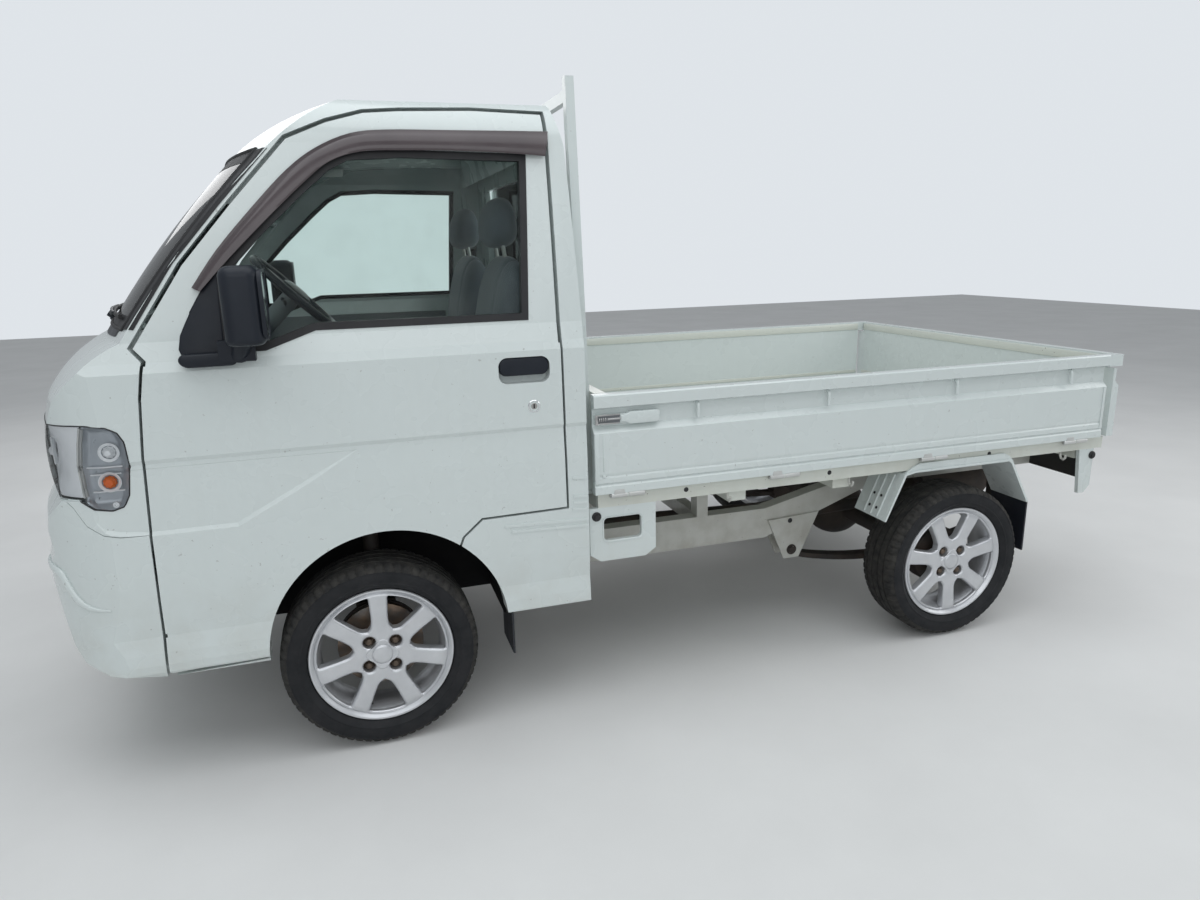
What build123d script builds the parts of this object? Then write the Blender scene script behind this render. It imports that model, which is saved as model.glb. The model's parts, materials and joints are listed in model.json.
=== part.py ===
"""Small cab-over truck with a drop-side bed.

Millimetres. +X is forward, +Y is the truck's left side, +Z is up.
The origin is on the ground, at the middle of the overall length and width.
"""

from build123d import *
import math
import os

os.makedirs("parts", exist_ok=True)

# Overall size and axles
front_end_x = 1697.5
rear_end_x = -1697.5
front_axle_x = 837.0
rear_axle_x = -1063.0
wheel_centre_y = 652.0
tyre_radius = 266.0

# Cab envelope
revolve_axis_x = -430.0
cab_back_x = 240.0
cab_bottom_z = 306.0
nose_radius = 1661.0
roof_crown_z = 1750.0
fit = 0.3
core_depth = 28.3
bumper_wall = core_depth - fit
side_wall = 60.0

# Doors
door_gap = 6.5
door_inset = 4.0
hinge_x = 1410.0
hinge_y = 718.0
door_skin_y = 730.0
hinge_pin_radius = 4.0
hinge_heights = [600.0, 1055.0]
hinge_arm_height = 26.0
pin_clearance = 0.3
arch_x = 802.0
arch_z = 310.0
arch_radius = 318.0
well_radius = 345.0
well_x = 820.0
well_z = 300.0
well_outer_y = 672.0

# Bed
bed_floor_z = 660.0
bed_half_inner = 699.0
gate_bottom_z = 657.0
gate_top_z = 945.0
gate_rear_x = -1640.0
gate_front_x = 218.0
sill_y = 714.0
sill_top_z = 652.0
sill_bottom_z = 612.0
gate_pivot_y = 729.5
gate_pivot_z = 650.0

# Half section of the cab seen from the front: half width, z
sill_line = [(722.0, cab_bottom_z), (733.0, 324.0), (735.5, 345.0), (734.5, 376.0), (729.5, 420.0)]
outer_low = [(729.5, 420.0), (735.0, 500.0), (736.5, 600.0)]
belt_line = [(737.0, 985.0), (736.0, 1080.0), (727.0, 1104.0)]
shoulder = (717.5, 1150.0)
pillar_mid = (697.0, 1372.0)
pillar_top = (668.0, 1600.0)
roof_turn = (646.0, 1668.0)
roof_side = (600.0, 1709.0)

# Centre line of the cab's front, from the bumper's lower edge to the roof: x, z
front_line = [
    (1498.0, cab_bottom_z),
    (1620.0, 330.0),
    (1664.0, 362.0),
    (1679.0, 404.0),
    (1688.0, 478.0),
    (front_end_x, 572.0),
    (front_end_x, 609.0),
    (1684.0, 640.0),
    (1688.0, 700.0),
    (1682.0, 742.0),
    (1652.0, 787.0),
]
nose_arc = [(1652.0, 787.0), (nose_radius, 890.0), (1637.0, 1021.0)]
cowl_arc = [(1637.0, 1021.0), (1580.0, 1092.0), (1492.0, 1150.0)]
screen_arc = [(1492.0, 1150.0), (1336.0, 1368.0), (1162.0, 1565.0)]
header_arc = [(1162.0, 1565.0), (1069.0, 1650.0), (926.0, 1718.0)]
roof_arc = [(926.0, 1718.0), (700.0, 1747.0), (480.0, 1752.0)]
roof_back = [(330.0, 1746.0), (290.0, 1715.0), (262.0, 1600.0), (cab_back_x, 1150.0)]
bumper_corner = 215.0
nose_corner = 175.0
bumper_split_z = 787.0
widest_y = 738.0
above_all_z = 1900.0


def moved(points, dx, dz):
    return [(x + dx, z + dz) for x, z in points]


def cab_front_line(inset):
    """Profile that is revolved into the cab's curved front, moved in by inset."""
    slant = inset * math.sqrt(0.5)
    front = moved(front_line, -inset, 0)
    nose = moved(nose_arc, -inset, 0)
    cowl = [nose[-1], *moved(cowl_arc[1:], -slant, -slant)]
    screen = [cowl[-1], *moved(screen_arc[1:], -slant, -slant)]
    header = [screen[-1], *moved(header_arc[1:2], -slant, -slant), *moved(header_arc[2:], 0, -inset)]
    roof = moved(roof_arc, 0, -inset)
    with BuildLine() as outline:
        Polyline(*front)
        ThreePointArc(*nose)
        ThreePointArc(*cowl)
        ThreePointArc(*screen)
        ThreePointArc(*header)
        ThreePointArc(*roof)
        Polyline(
            roof[-1],
            (revolve_axis_x, roof[-1][1]),
            (revolve_axis_x, cab_bottom_z),
            front[0],
        )
    return outline.line


def cab_back_line(inset):
    """Side outline that trims the cab's back wall and the roof's rear edge."""
    back = moved(roof_back, inset, -inset)
    with BuildLine() as outline:
        Polyline(
            (cab_back_x + inset, cab_bottom_z),
            (front_end_x * 2, cab_bottom_z),
            (front_end_x * 2, above_all_z),
            (roof_back[0][0] + inset, above_all_z),
            *back,
            (cab_back_x + inset, cab_bottom_z),
        )
    return outline.line


def cab_section_line(inset):
    """Closed section of the cab seen from the front, with its sides moved in by inset."""
    with BuildLine() as outline:
        for side in (1, -1):
            sill = [(side * (y - inset), z) for y, z in sill_line]
            low = [(side * (y - inset), z) for y, z in outer_low]
            belt = [(side * (y - inset), z) for y, z in belt_line]
            pillar = [(side * (y - inset), z) for y, z in (shoulder, pillar_mid, pillar_top)]
            turn = (side * (roof_turn[0] - inset), roof_turn[1])
            crown_end = (side * (roof_side[0] - inset), roof_side[1] - inset)
            Polyline(*sill)
            ThreePointArc(*low)
            Polyline(low[-1], *belt, pillar[0])
            ThreePointArc(*pillar)
            ThreePointArc(pillar[-1], turn, crown_end)
        ThreePointArc(
            (roof_side[0] - inset, roof_side[1] - inset),
            (0, roof_crown_z - inset),
            (inset - roof_side[0], roof_side[1] - inset),
        )
        Line((inset - sill_line[0][0], cab_bottom_z), (sill_line[0][0] - inset, cab_bottom_z))
    return outline.line


def plan_corner_line(radius, x_front, half_width):
    """Plan outline whose two front corners are rounded."""
    reach = x_front - revolve_axis_x - radius
    cy = half_width - radius
    cx = revolve_axis_x + math.sqrt(reach**2 - cy**2)
    ux, uy = (cx - revolve_axis_x) / reach, cy / reach
    tip = (cx + radius * ux, cy + radius * uy)
    turn = (math.atan2(uy, ux) + math.pi / 2) / 2
    mid = (cx + radius * math.cos(turn), cy + radius * math.sin(turn))
    nose = (tip[0] + tip[1] * uy / ux, 0)
    back_x = cab_back_x - side_wall
    with BuildLine() as outline:
        for s in (1, -1):
            Line((back_x, s * half_width), (cx, s * half_width))
            ThreePointArc((cx, s * half_width), (mid[0], s * mid[1]), (tip[0], s * tip[1]))
            Line((tip[0], s * tip[1]), nose)
        Line((back_x, -half_width), (back_x, half_width))
    return outline.line


def cab_envelope(inset):
    """The whole cab as a filled solid, smaller by inset all round."""
    with BuildPart() as corners:
        with BuildSketch(Plane.XY):
            add(plan_corner_line(bumper_corner - inset, front_end_x - inset, widest_y - inset))
            make_face()
        extrude(amount=bumper_split_z)
        with BuildSketch(Plane.XY.offset(bumper_split_z)):
            add(plan_corner_line(nose_corner - inset, nose_radius - inset, widest_y - inset))
            make_face()
        extrude(amount=above_all_z - bumper_split_z)
    with BuildPart() as envelope:
        with BuildSketch(Plane.XZ):
            add(cab_front_line(inset))
            make_face()
        revolve(axis=Axis((revolve_axis_x, 0, 0), (0, 0, 1)))
        with BuildSketch(Plane.XZ):
            add(cab_back_line(inset))
            make_face()
        extrude(amount=widest_y, both=True, mode=Mode.INTERSECT)
        with BuildSketch(Plane.YZ.offset(cab_back_x + inset)):
            add(cab_section_line(inset))
            make_face()
        extrude(amount=front_end_x * 2, mode=Mode.INTERSECT)
        add(corners.part, mode=Mode.INTERSECT)
    return envelope.part


# Door outline on the truck's side, from the rear foot round by the roof: x, z
door_corner = (304.0, 636.0)
door_points = [
    door_corner,
    (311.0, 1684.0),
    (494.0, 1690.0),
    (676.0, 1684.0),
    (763.0, 1677.0),
    (851.0, 1652.0),
    (948.0, 1611.0),
    (1087.0, 1460.0),
    (1205.0, 1324.0),
    (1331.0, 1137.0),
    (1306.0, 1106.0),
    (1322.0, 1019.0),
    (1335.0, 883.0),
    (1345.0, 693.0),
    (1352.0, 449.0),
    (1357.0, 312.0),
    (1100.0, 322.0),
    (802.0, 400.0),
    (612.0, 555.0),
    (600.0, 585.0),
    (545.0, 632.0),
]
window_points = [
    (390.0, 1162.0),
    (369.0, 1576.0),
    (683.0, 1583.0),
    (813.0, 1576.0),
    (866.0, 1548.0),
    (933.0, 1491.0),
    (1041.0, 1391.0),
    (1165.0, 1263.0),
    (1195.0, 1214.0),
    (1205.0, 1120.0),
    (1040.0, 1120.0),
    (922.0, 1162.0),
]
door_inner_section = [(677.0, 200.0), (677.0, 1100.0), (681.0, 1150.0), (661.0, 1372.0), (632.0, 1600.0)]
door_inner_top = [(587.0, 1690.0), (560.0, above_all_z)]
cavity_section = [(640.0, 200.0), (640.0, 1100.0), (642.0, 1150.0), (626.0, 1372.0), (598.0, 1600.0)]
cavity_top = [(560.0, 1665.0), (520.0, 1690.0)]


def side_solid(points, grow, y_low, y_high):
    """Solid with a side outline, grown by grow, between two distances from the middle on the left."""
    with BuildPart() as solid:
        with BuildSketch(Plane.XZ.offset(-y_low)):
            Polygon(*points, align=None)
            if grow:
                offset(amount=grow, kind=Kind.INTERSECTION)
        extrude(amount=y_low - y_high)
    return solid.part


def band_solid(points, x_low, x_high):
    """Solid with a half section mirrored about the middle, between two stations along the truck."""
    outline = [*points, *[(-y, z) for y, z in reversed(points)]]
    with BuildPart() as solid:
        with BuildSketch(Plane.YZ.offset(x_low)):
            Polygon(*outline, align=None)
        extrude(amount=x_high - x_low)
    return solid.part


def place_box(x, y, z, mode=Mode.ADD):
    """Box between two corners, given as a pair for each axis."""
    with Locations(((x[0] + x[1]) / 2, (y[0] + y[1]) / 2, (z[0] + z[1]) / 2)):
        Box(abs(x[1] - x[0]), abs(y[1] - y[0]), abs(z[1] - z[0]), mode=mode)


def place_pair(x, y, z, mode=Mode.ADD):
    """Two boxes, mirrored about the truck's middle."""
    place_box(x, y, z, mode)
    place_box(x, (-y[1], -y[0]), z, mode)


def place_rod(start, end, radius, mode=Mode.ADD):
    """Round bar from one point to another."""
    span = Vector(*end) - Vector(*start)
    with Locations(Plane(origin=start, z_dir=span)):
        Cylinder(radius, span.length, align=(Align.CENTER, Align.CENTER, Align.MIN), mode=mode)


def place_rods(start, end, radius, mode=Mode.ADD):
    """Two round bars, mirrored about the truck's middle."""
    place_rod(start, end, radius, mode)
    place_rod((start[0], -start[1], start[2]), (end[0], -end[1], end[2]), radius, mode)


def finish(part, name):
    part.label = name
    export_step(part, "parts/" + name + ".step")


def finish_pair(part, name):
    """Writes a left piece and its mirror image on the right."""
    finish(part, name + "_left")
    with BuildPart() as other:
        add(mirror(part, about=Plane.XZ, mode=Mode.PRIVATE))
    finish(other.part, name + "_right")


# Panels of the cab
cavity_depth = 62.0
back_wall = 35.0
post_x = 1290.0
post_y = 600.0
pocket_y = 621.0
pocket_rear_x = 1255.0
pocket_front_x = 1430.0
pocket_outer_y = 727.5
pocket_half = 42.0
hinge_pockets = [(z - pocket_half, z + pocket_half) for z in hinge_heights]
bracket_thick = 7.0
bracket_half = 10.0
screen_depth = 90.0
screen_glass = 8.0
lamp_depth = 27.0
outside_y = 800.0
inside_y = 500.0
nose_top_z = 1150.0
quarter_bottom_z = 342.0
screen_points = [(678.0, 1176.0), (662.0, 1372.0), (640.0, 1500.0), (612.0, 1592.0)]
far_x = 1900.0
split_gap = 2.0
# Front edge of the door opening from the cowl down: x, z
nose_shut_line = [(1346.0, nose_top_z), (1337.5, 1137.0), (1313.5, 1106.0), (1329.0, 1019.0), (1342.0, 883.0)]
bumper_shut_line = [(1351.5, 688.0), (1354.5, 568.0), (1358.5, 449.0), (1364.0, 300.0)]
# Line between the bumper and the nose from the door forward: x, z
split_line = [(1413.0, 691.0), (1448.0, 700.0), (1481.0, 725.0), (1505.0, 771.0), (1520.0, 787.0), (far_x, 787.0)]
nose_points = [
    *nose_shut_line,
    *moved([bumper_shut_line[0], *split_line], 0, split_gap / 2),
    (far_x, nose_top_z),
]
bumper_points = [
    *bumper_shut_line,
    (far_x, 300.0),
    *reversed(moved(split_line, 0, -split_gap / 2)),
]
front_points = [*nose_shut_line, *bumper_shut_line, (far_x, 300.0), (far_x, nose_top_z)]
lamp_side = [
    (1900.0, 968.0),
    (1459.0, 968.0),
    (1410.0, 961.0),
    (1384.0, 947.0),
    (1372.0, 923.0),
    (1369.0, 872.0),
    (1380.0, 793.0),
    (1394.0, 766.0),
    (1420.0, 757.0),
    (1455.0, 764.0),
    (1487.0, 789.0),
    (1900.0, 790.0),
]
lamp_front = [(475.0, 790.5), (440.0, 820.0), (440.0, 925.0), (470.0, 985.0), (900.0, 985.0), (900.0, 700.0), (475.0, 700.0)]

# Long groove and shallow hollow in the cab's sides
groove_section = [(745.0, 875.0), (737.2, 875.0), (732.0, 864.0), (736.7, 775.0), (745.0, 775.0)]
hollow_floor_y = 731.5
hollow_points = [(858.0, 852.0), (1153.0, 696.0), (1352.0, 696.0), (1411.0, 704.0), (1440.0, 712.0), (1560.0, 852.0)]
hollow_slope = 62.0

with BuildPart() as side_hollows:
    for side in (1, -1):
        with BuildSketch(Plane.YZ.offset(200)):
            Polygon(*[(side * y, z) for y, z in groove_section], align=None)
        extrude(amount=1172)
    with BuildPart(mode=Mode.PRIVATE) as hollow:
        with BuildSketch(Plane.XZ.offset(-hollow_floor_y)):
            Polygon(*hollow_points, align=None)
        extrude(amount=-8, taper=-hollow_slope)
    add(hollow.part)
    add(mirror(hollow.part, about=Plane.XZ, mode=Mode.PRIVATE))
outer = cab_envelope(0) - side_hollows.part
panel_core = cab_envelope(core_depth)
bumper_core = cab_envelope(bumper_wall)
lamp_core = cab_envelope(lamp_depth)
cavity_core = cab_envelope(cavity_depth)
screen_cut_core = outer.moved(Location((-screen_depth, 0, 0)))
screen_core = outer.moved(Location((-screen_glass, 0, 0)))
door_core = band_solid(door_inner_section + door_inner_top, 0, front_end_x * 2)
frame_core = band_solid(
    [(y - 3, z) for y, z in door_inner_section + door_inner_top], 0, front_end_x * 2
)
cavity_band = band_solid(cavity_section + cavity_top, cab_back_x + back_wall, front_end_x * 2)
screen_band = band_solid(screen_points, 700, front_end_x * 2)
glass_band = band_solid([(y - fit, z) for y, z in screen_points], 700, front_end_x * 2)
nose_zone = side_solid(nose_points, 0, -outside_y, outside_y)
bumper_zone = side_solid(bumper_points, 0, -outside_y, outside_y)
front_zone = side_solid(front_points, 0, -outside_y, outside_y)


def place_arch(radius, x, z, half_width, mode=Mode.SUBTRACT):
    """Cylinder across the truck that clears both front wheels."""
    with Locations(Plane(origin=(x, 0, z), z_dir=(0, 1, 0))):
        Cylinder(radius, 2 * half_width, mode=mode)


# Plan of a hinge arm, from the door's inner face round to the hinge pin
hinge_arm = [
    (1296, 690), (1296, 627.5), (1368.5, 627.5), (1413.6, 716.2),
    (1406.4, 719.8), (1363.5, 635.5), (1304, 635.5), (1304, 690),
]

with BuildPart() as door_left:
    add(side_solid(door_points, 0, door_skin_y, outside_y))
    add(side_solid(door_points, -door_inset, inside_y, door_skin_y))
    add(outer, mode=Mode.INTERSECT)
    add(door_core, mode=Mode.SUBTRACT)
    place_arch(arch_radius, arch_x, arch_z, outside_y)
    add(side_solid(window_points, 0, inside_y, outside_y), mode=Mode.SUBTRACT)
    # Recess of the door handle
    with BuildSketch(Plane.XZ.offset(-(hinge_y - 14))):
        with Locations((408.5, 1029)):
            RectangleRounded(139, 70, 24)
    extrude(amount=14 - outside_y + hinge_y, mode=Mode.SUBTRACT)
    # Swan-neck hinge arms
    for z in hinge_heights:
        with BuildSketch(Plane.XY.offset(z - hinge_arm_height / 2)):
            with BuildLine():
                Polyline(*hinge_arm, hinge_arm[0])
            make_face()
            with Locations((hinge_x, hinge_y)):
                Circle(hinge_pin_radius + 3.5)
                Circle(hinge_pin_radius + pin_clearance, mode=Mode.SUBTRACT)
        extrude(amount=hinge_arm_height)
finish_pair(door_left.part, "door")

with BuildPart() as door_glass:
    with BuildSketch(Plane.YZ.offset(300)):
        Polygon((701, 1140), (697, 1140), (644, 1600), (648, 1600), align=None)
    extrude(amount=1100)
    add(side_solid(window_points, -fit, inside_y, outside_y), mode=Mode.INTERSECT)
finish_pair(door_glass.part, "door_glass")

visor_points = [
    (1185, 1271), (1124, 1355), (1034, 1454), (950, 1538), (879, 1589), (797, 1625), (710, 1633), (302, 1636),
    (320, 1571), (442, 1580), (685, 1583), (813, 1578), (866, 1550), (933, 1493), (1041, 1393), (1165, 1263),
]
with BuildPart() as visor:
    add(side_solid(visor_points, 0, inside_y, outside_y))
    add(cab_envelope(-18), mode=Mode.INTERSECT)
    add(outer, mode=Mode.SUBTRACT)
finish_pair(visor.part, "visor")

with BuildPart() as mirror_arm:
    with BuildSketch(Plane.XY.offset(1143)):
        with Locations((1069, 808)):
            RectangleRounded(87, 130, 30)
    extrude(amount=177)
    fillet(mirror_arm.edges().group_by(Axis.Z)[-1], 24)
    fillet(mirror_arm.edges().group_by(Axis.Z)[0], 14)
    place_box((1110, 1220), (690, 752), (1096, 1118))
    place_box((1060, 1140), (742, 775), (1100, 1150))
    add(door_left.part, mode=Mode.SUBTRACT)
    add(outer, mode=Mode.SUBTRACT)
finish_pair(mirror_arm.part, "mirror")

with BuildPart() as cab_shell:
    add(outer)
    with BuildPart(mode=Mode.PRIVATE) as front_skin:
        add(outer)
        add(panel_core, mode=Mode.SUBTRACT)
        add(front_zone, mode=Mode.INTERSECT)
    add(front_skin.part, mode=Mode.SUBTRACT)
    with BuildPart(mode=Mode.PRIVATE) as cavity:
        add(cavity_core)
        add(cavity_band, mode=Mode.INTERSECT)
        place_pair((post_x, front_end_x), (post_y, outside_y), (0, nose_top_z - 20), Mode.SUBTRACT)
    add(cavity.part, mode=Mode.SUBTRACT)
    place_box((cab_back_x + back_wall, cab_back_x + back_wall + 60), (-600, 600), (0, 1640), Mode.SUBTRACT)
    place_box((200, 340), (-600, 600), (0, 460), Mode.SUBTRACT)
    for side in (1, -1):
        with BuildPart(mode=Mode.PRIVATE) as opening:
            add(side_solid(door_points, door_gap, inside_y, outside_y))
            add(frame_core, mode=Mode.SUBTRACT)
            add(side_solid(door_points, -30, inside_y, outside_y))
        if side > 0:
            add(opening.part, mode=Mode.SUBTRACT)
        else:
            add(mirror(opening.part, about=Plane.XZ, mode=Mode.PRIVATE), mode=Mode.SUBTRACT)
    place_arch(arch_radius, arch_x, arch_z, outside_y)
    place_arch(well_radius, well_x, well_z, well_outer_y)
    # Clear the inner wall of the front around each hinge
    for z, pocket in zip(hinge_heights, hinge_pockets):
        place_pair((pocket_rear_x, 1480), (pocket_y, outside_y), pocket, Mode.SUBTRACT)
        # Two plates hold each hinge pin, above and below the door's arm
        low = z - hinge_arm_height / 2 - pin_clearance
        high = z + hinge_arm_height / 2 + pin_clearance
        for plate in ((low - bracket_thick, low), (high, high + bracket_thick)):
            place_pair((hinge_x - bracket_half, hinge_x + bracket_half), (pocket_y - 5, hinge_y + 6), plate)
        place_rods((hinge_x, hinge_y, low - 3), (hinge_x, hinge_y, high + 3), hinge_pin_radius)
    with BuildPart(mode=Mode.PRIVATE) as screen_cut:
        add(screen_band)
        add(screen_cut_core, mode=Mode.SUBTRACT)
    add(screen_cut.part, mode=Mode.SUBTRACT)
    place_box((200, 300), (-430, 430), (1175, 1560), Mode.SUBTRACT)
    place_box((180, 640), (-outside_y, outside_y), (300, quarter_bottom_z), Mode.SUBTRACT)
finish(cab_shell.part, "cab_shell")

with BuildPart() as windshield:
    add(glass_band)
    add(outer, mode=Mode.INTERSECT)
    add(screen_core, mode=Mode.SUBTRACT)
finish(windshield.part, "windshield")

with BuildPart() as rear_window:
    place_box((250, 255), (-430 + fit, 430 - fit), (1175 + fit, 1560 - fit))
finish(rear_window.part, "rear_window")

with BuildPart() as lamp_cut:
    with BuildSketch(Plane.XZ.offset(-outside_y)):
        Polygon(*lamp_side, align=None)
    extrude(amount=2 * outside_y)
    with BuildSketch(Plane.YZ.offset(1300)):
        Polygon(*lamp_front, align=None)
        mirror(about=Plane.YZ)
    extrude(amount=600, mode=Mode.INTERSECT)

with BuildPart() as front_panel:
    add(outer)
    add(bumper_core, mode=Mode.SUBTRACT)
    add(nose_zone, mode=Mode.INTERSECT)
    add(lamp_cut.part, mode=Mode.SUBTRACT)
    place_pair((post_x, pocket_front_x), (post_y, pocket_outer_y), hinge_pockets[1], Mode.SUBTRACT)
finish(front_panel.part, "front_panel")

with BuildPart() as headlamps:
    add(outer)
    add(lamp_core, mode=Mode.SUBTRACT)
    add(lamp_cut.part, mode=Mode.INTERSECT)
finish(headlamps.part, "headlamps")

with BuildPart() as front_bumper:
    add(outer)
    add(bumper_core, mode=Mode.SUBTRACT)
    add(bumper_zone, mode=Mode.INTERSECT)
    with BuildPart(mode=Mode.PRIVATE) as intake:
        place_box((1500, 1800), (-330, 330), (415, 505))
        add(cab_envelope(20), mode=Mode.SUBTRACT)
    add(intake.part, mode=Mode.SUBTRACT)
    place_pair((post_x, pocket_front_x), (post_y, pocket_outer_y), hinge_pockets[0], Mode.SUBTRACT)
finish(front_bumper.part, "front_bumper")
# Inside of the cab
foot_floor_z = 400.0
floor_plate = 25.0
deck_z = 675.0
riser_x = 1180.0
well_inner_y = 412.0
liner = 6.0
seat_y = 330.0
hub_x = 1005.0
hub_z = 1205.0
column_angle = 45.0
steering_rim_radius = 176.0
floor_side = post_y - fit
deck_side = 640.0
cab_inside_x = cab_back_x + back_wall

strut_top_z = 626.0
# Steering axis: lower joint and lean towards the middle per unit of height
kingpin_low = (front_axle_x, 595.0, 180.0)
kingpin_lean = -0.25


def kingpin_at(z, side=1):
    """Point of a steering axis at a height."""
    return (front_axle_x, side * (kingpin_low[1] + kingpin_lean * (z - kingpin_low[2])), z)


with BuildPart() as wheel_liners:
    place_arch(well_radius, well_x, well_z, deck_side, Mode.ADD)
    place_arch(well_radius - liner, well_x, well_z, outside_y)
    for side in (1, -1):
        with Locations(Plane(origin=(well_x, side * well_inner_y, well_z), z_dir=(0, 1, 0))):
            Cylinder(well_radius, liner)
    place_box((0, front_end_x), (liner - well_inner_y, well_inner_y - liner), (0, above_all_z), Mode.SUBTRACT)
    place_box((0, front_end_x), (-outside_y, outside_y), (-well_radius, well_z), Mode.SUBTRACT)
    # Seats of the suspension struts
    for side in (1, -1):
        place_rod(kingpin_at(strut_top_z + fit, side), kingpin_at(652, side), 42)

with BuildPart() as cab_floor:
    place_box((riser_x - floor_plate, 1580), (-floor_side, floor_side), (foot_floor_z, foot_floor_z + floor_plate))
    place_box((riser_x - floor_plate, riser_x), (-floor_side, floor_side), (foot_floor_z, deck_z))
    place_box((cab_inside_x, riser_x), (-deck_side, deck_side), (deck_z, deck_z + floor_plate))
    place_box((cab_inside_x, cab_inside_x + floor_plate), (-deck_side, deck_side), (462, deck_z))
    place_box((430, 930), (-560, 560), (deck_z + floor_plate, 750))
    add(cavity_core, mode=Mode.INTERSECT)
    add(wheel_liners.part)
finish(cab_floor.part, "cab_floor")

column_x = math.cos(math.radians(column_angle))
column_z = math.sin(math.radians(column_angle))


def column_point(distance):
    """Point on the steering column, measured forward from the steering wheel's hub."""
    return (hub_x + distance * column_x, -seat_y, hub_z - distance * column_z)


with BuildPart() as dashboard:
    with BuildSketch(Plane.XZ):
        Polygon(
            (1190, 880), (1190, 1070), (1225, 1112), (1300, 1126),
            (1480, 1120), (1560, 1050), (1560, 900), (1420, 850),
            align=None,
        )
    extrude(amount=floor_side, both=True)
    add(cavity_core, mode=Mode.INTERSECT)
    place_rod(column_point(17 + fit), column_point(330), 32)
finish(dashboard.part, "dashboard")

with BuildPart(Plane(origin=column_point(0), z_dir=(-column_x, 0, column_z), x_dir=(0, 1, 0))) as steering_wheel:
    Torus(steering_rim_radius, 14)
    Cylinder(36, 34)
    for angle in (-10, 190, 270):
        with Locations(Rotation(0, 0, angle)):
            Box(steering_rim_radius, 28, 12, align=(Align.MIN, Align.CENTER, Align.CENTER))
finish(steering_wheel.part, "steering_wheel")

with BuildPart() as seat_cushions:
    with BuildSketch(Plane.XZ.offset(seat_y - 240)):
        Polygon((440, 750 + fit), (900, 750 + fit), (935, 800), (925, 872), (880, 890), (440, 862), align=None)
    extrude(amount=480)
    mirror(about=Plane.XZ)
finish(seat_cushions.part, "seat_cushions")

with BuildPart() as seat_backs:
    with BuildSketch(Plane.XZ.offset(seat_y - 235)):
        Polygon((300, 790), (440 - fit, 790), (440 - fit, 863), (455, 870), (480, 900), (445, 1180), (400, 1322), (340, 1330), (290, 1180), align=None)
    extrude(amount=470)
    with BuildSketch(Plane.XZ.offset(seat_y - 125)):
        Polygon((335, 1350), (430, 1342), (440, 1400), (415, 1490), (355, 1500), (330, 1440), align=None)
    extrude(amount=250)
    for side in (1, -1):
        place_rod((375, -seat_y + side * 60, 1300), (385, -seat_y + side * 60, 1360), 7)
    mirror(about=Plane.XZ)
finish(seat_backs.part, "seat_backs")

with BuildPart() as wipers:
    for y in (-420, 120):
        place_rod((1440, y, 1140), (1500, y, 1190), 12)
    add(outer, mode=Mode.SUBTRACT)
finish(wipers.part, "wipers")

# Wheels
spoke_count = 7
wheel_places = [
    ("front_left", front_axle_x, 1),
    ("front_right", front_axle_x, -1),
    ("rear_left", rear_axle_x, 1),
    ("rear_right", rear_axle_x, -1),
]


def wheel_plane(x, side):
    """Plane across a wheel, with its normal pointing out of the truck."""
    return Plane(origin=(x, side * wheel_centre_y, tyre_radius), z_dir=(0, side, 0), x_dir=(0, 0, 1))


for place, x, side in wheel_places:
    with BuildPart() as tyre:
        with BuildSketch(Plane.XZ):
            with BuildLine():
                Polyline((195, -58), (178, -60), (178, 60), (195, 58))
                ThreePointArc((195, 58), (225, 82), (254, 72))
                ThreePointArc((254, 72), (262, 66), (266, 50))
                Line((266, 50), (266, -50))
                ThreePointArc((266, -50), (262, -66), (254, -72))
                ThreePointArc((254, -72), (225, -82), (195, -58))
            make_face()
        revolve(axis=Axis.Z)
    finish(wheel_plane(x, side).location * tyre.part, "tyre_" + place)
    with BuildPart() as rim:
        with BuildSketch(Plane.XZ):
            Polygon(
                (164, -66), (193, -66), (193, -60.5), (177.7, -60.5), (177.7, 60.5), (193, 60.5), (193, 68), (172, 68),
                (160, 40), (150, 10), (164, -10),
                align=None,
            )
        revolve(axis=Axis.Z)
        with BuildSketch(Plane.XY.offset(24)):
            Circle(70)
            with PolarLocations(0, spoke_count):
                Polygon((55, -22), (170, -17), (170, 17), (55, 22), align=None)
        extrude(amount=26)
        with BuildSketch(Plane.XY.offset(0)):
            Circle(70)
        extrude(amount=58)
        with Locations((0, 0, 46)):
            with PolarLocations(50, 4):
                Hole(11, 20)
    finish(wheel_plane(x, side).location * rim.part, "rim_" + place)

# Steering knuckles, axle and suspension
with BuildPart() as knuckle:
    place_box((front_axle_x - 28, front_axle_x + 28), (545, 606), (212, 345))
    place_rod((front_axle_x, 600, tyre_radius), (front_axle_x, wheel_centre_y - 0.5, tyre_radius), 34)
    place_rod((front_axle_x, 604, tyre_radius), (front_axle_x, 616, tyre_radius), 118)
    place_box((front_axle_x - 120, front_axle_x - 20), (545, 570), (225, 250))
finish_pair(knuckle.part, "knuckle")

rail_front = (330.0, 380.0)
rail_rear = (391.0, 441.0)
rail_joint_x = 250.0
rail_points = [
    (rail_joint_x + 40, 337), (rail_joint_x + 40, 444), (-490, 444), (-617, 473), (-823, 520), (-1000, 560),
    (-1640, 560), (-1640, 490), (-1000, 490), (-871, 468), (-680, 400), (-490, 337),
]
rail_front_points = [
    (rail_joint_x + 40, 337), (rail_joint_x + 40, 444), (1090, 444), (1140, 400), (1385, 400), (1385, 300), (1140, 300), (1090, 337),
]
hanger_points = [(-500, 400), (-700, 410), (-625, 250), (-565, 250)]
outrigger_stations = [150, -250, -620, -1300, -1610]
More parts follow.
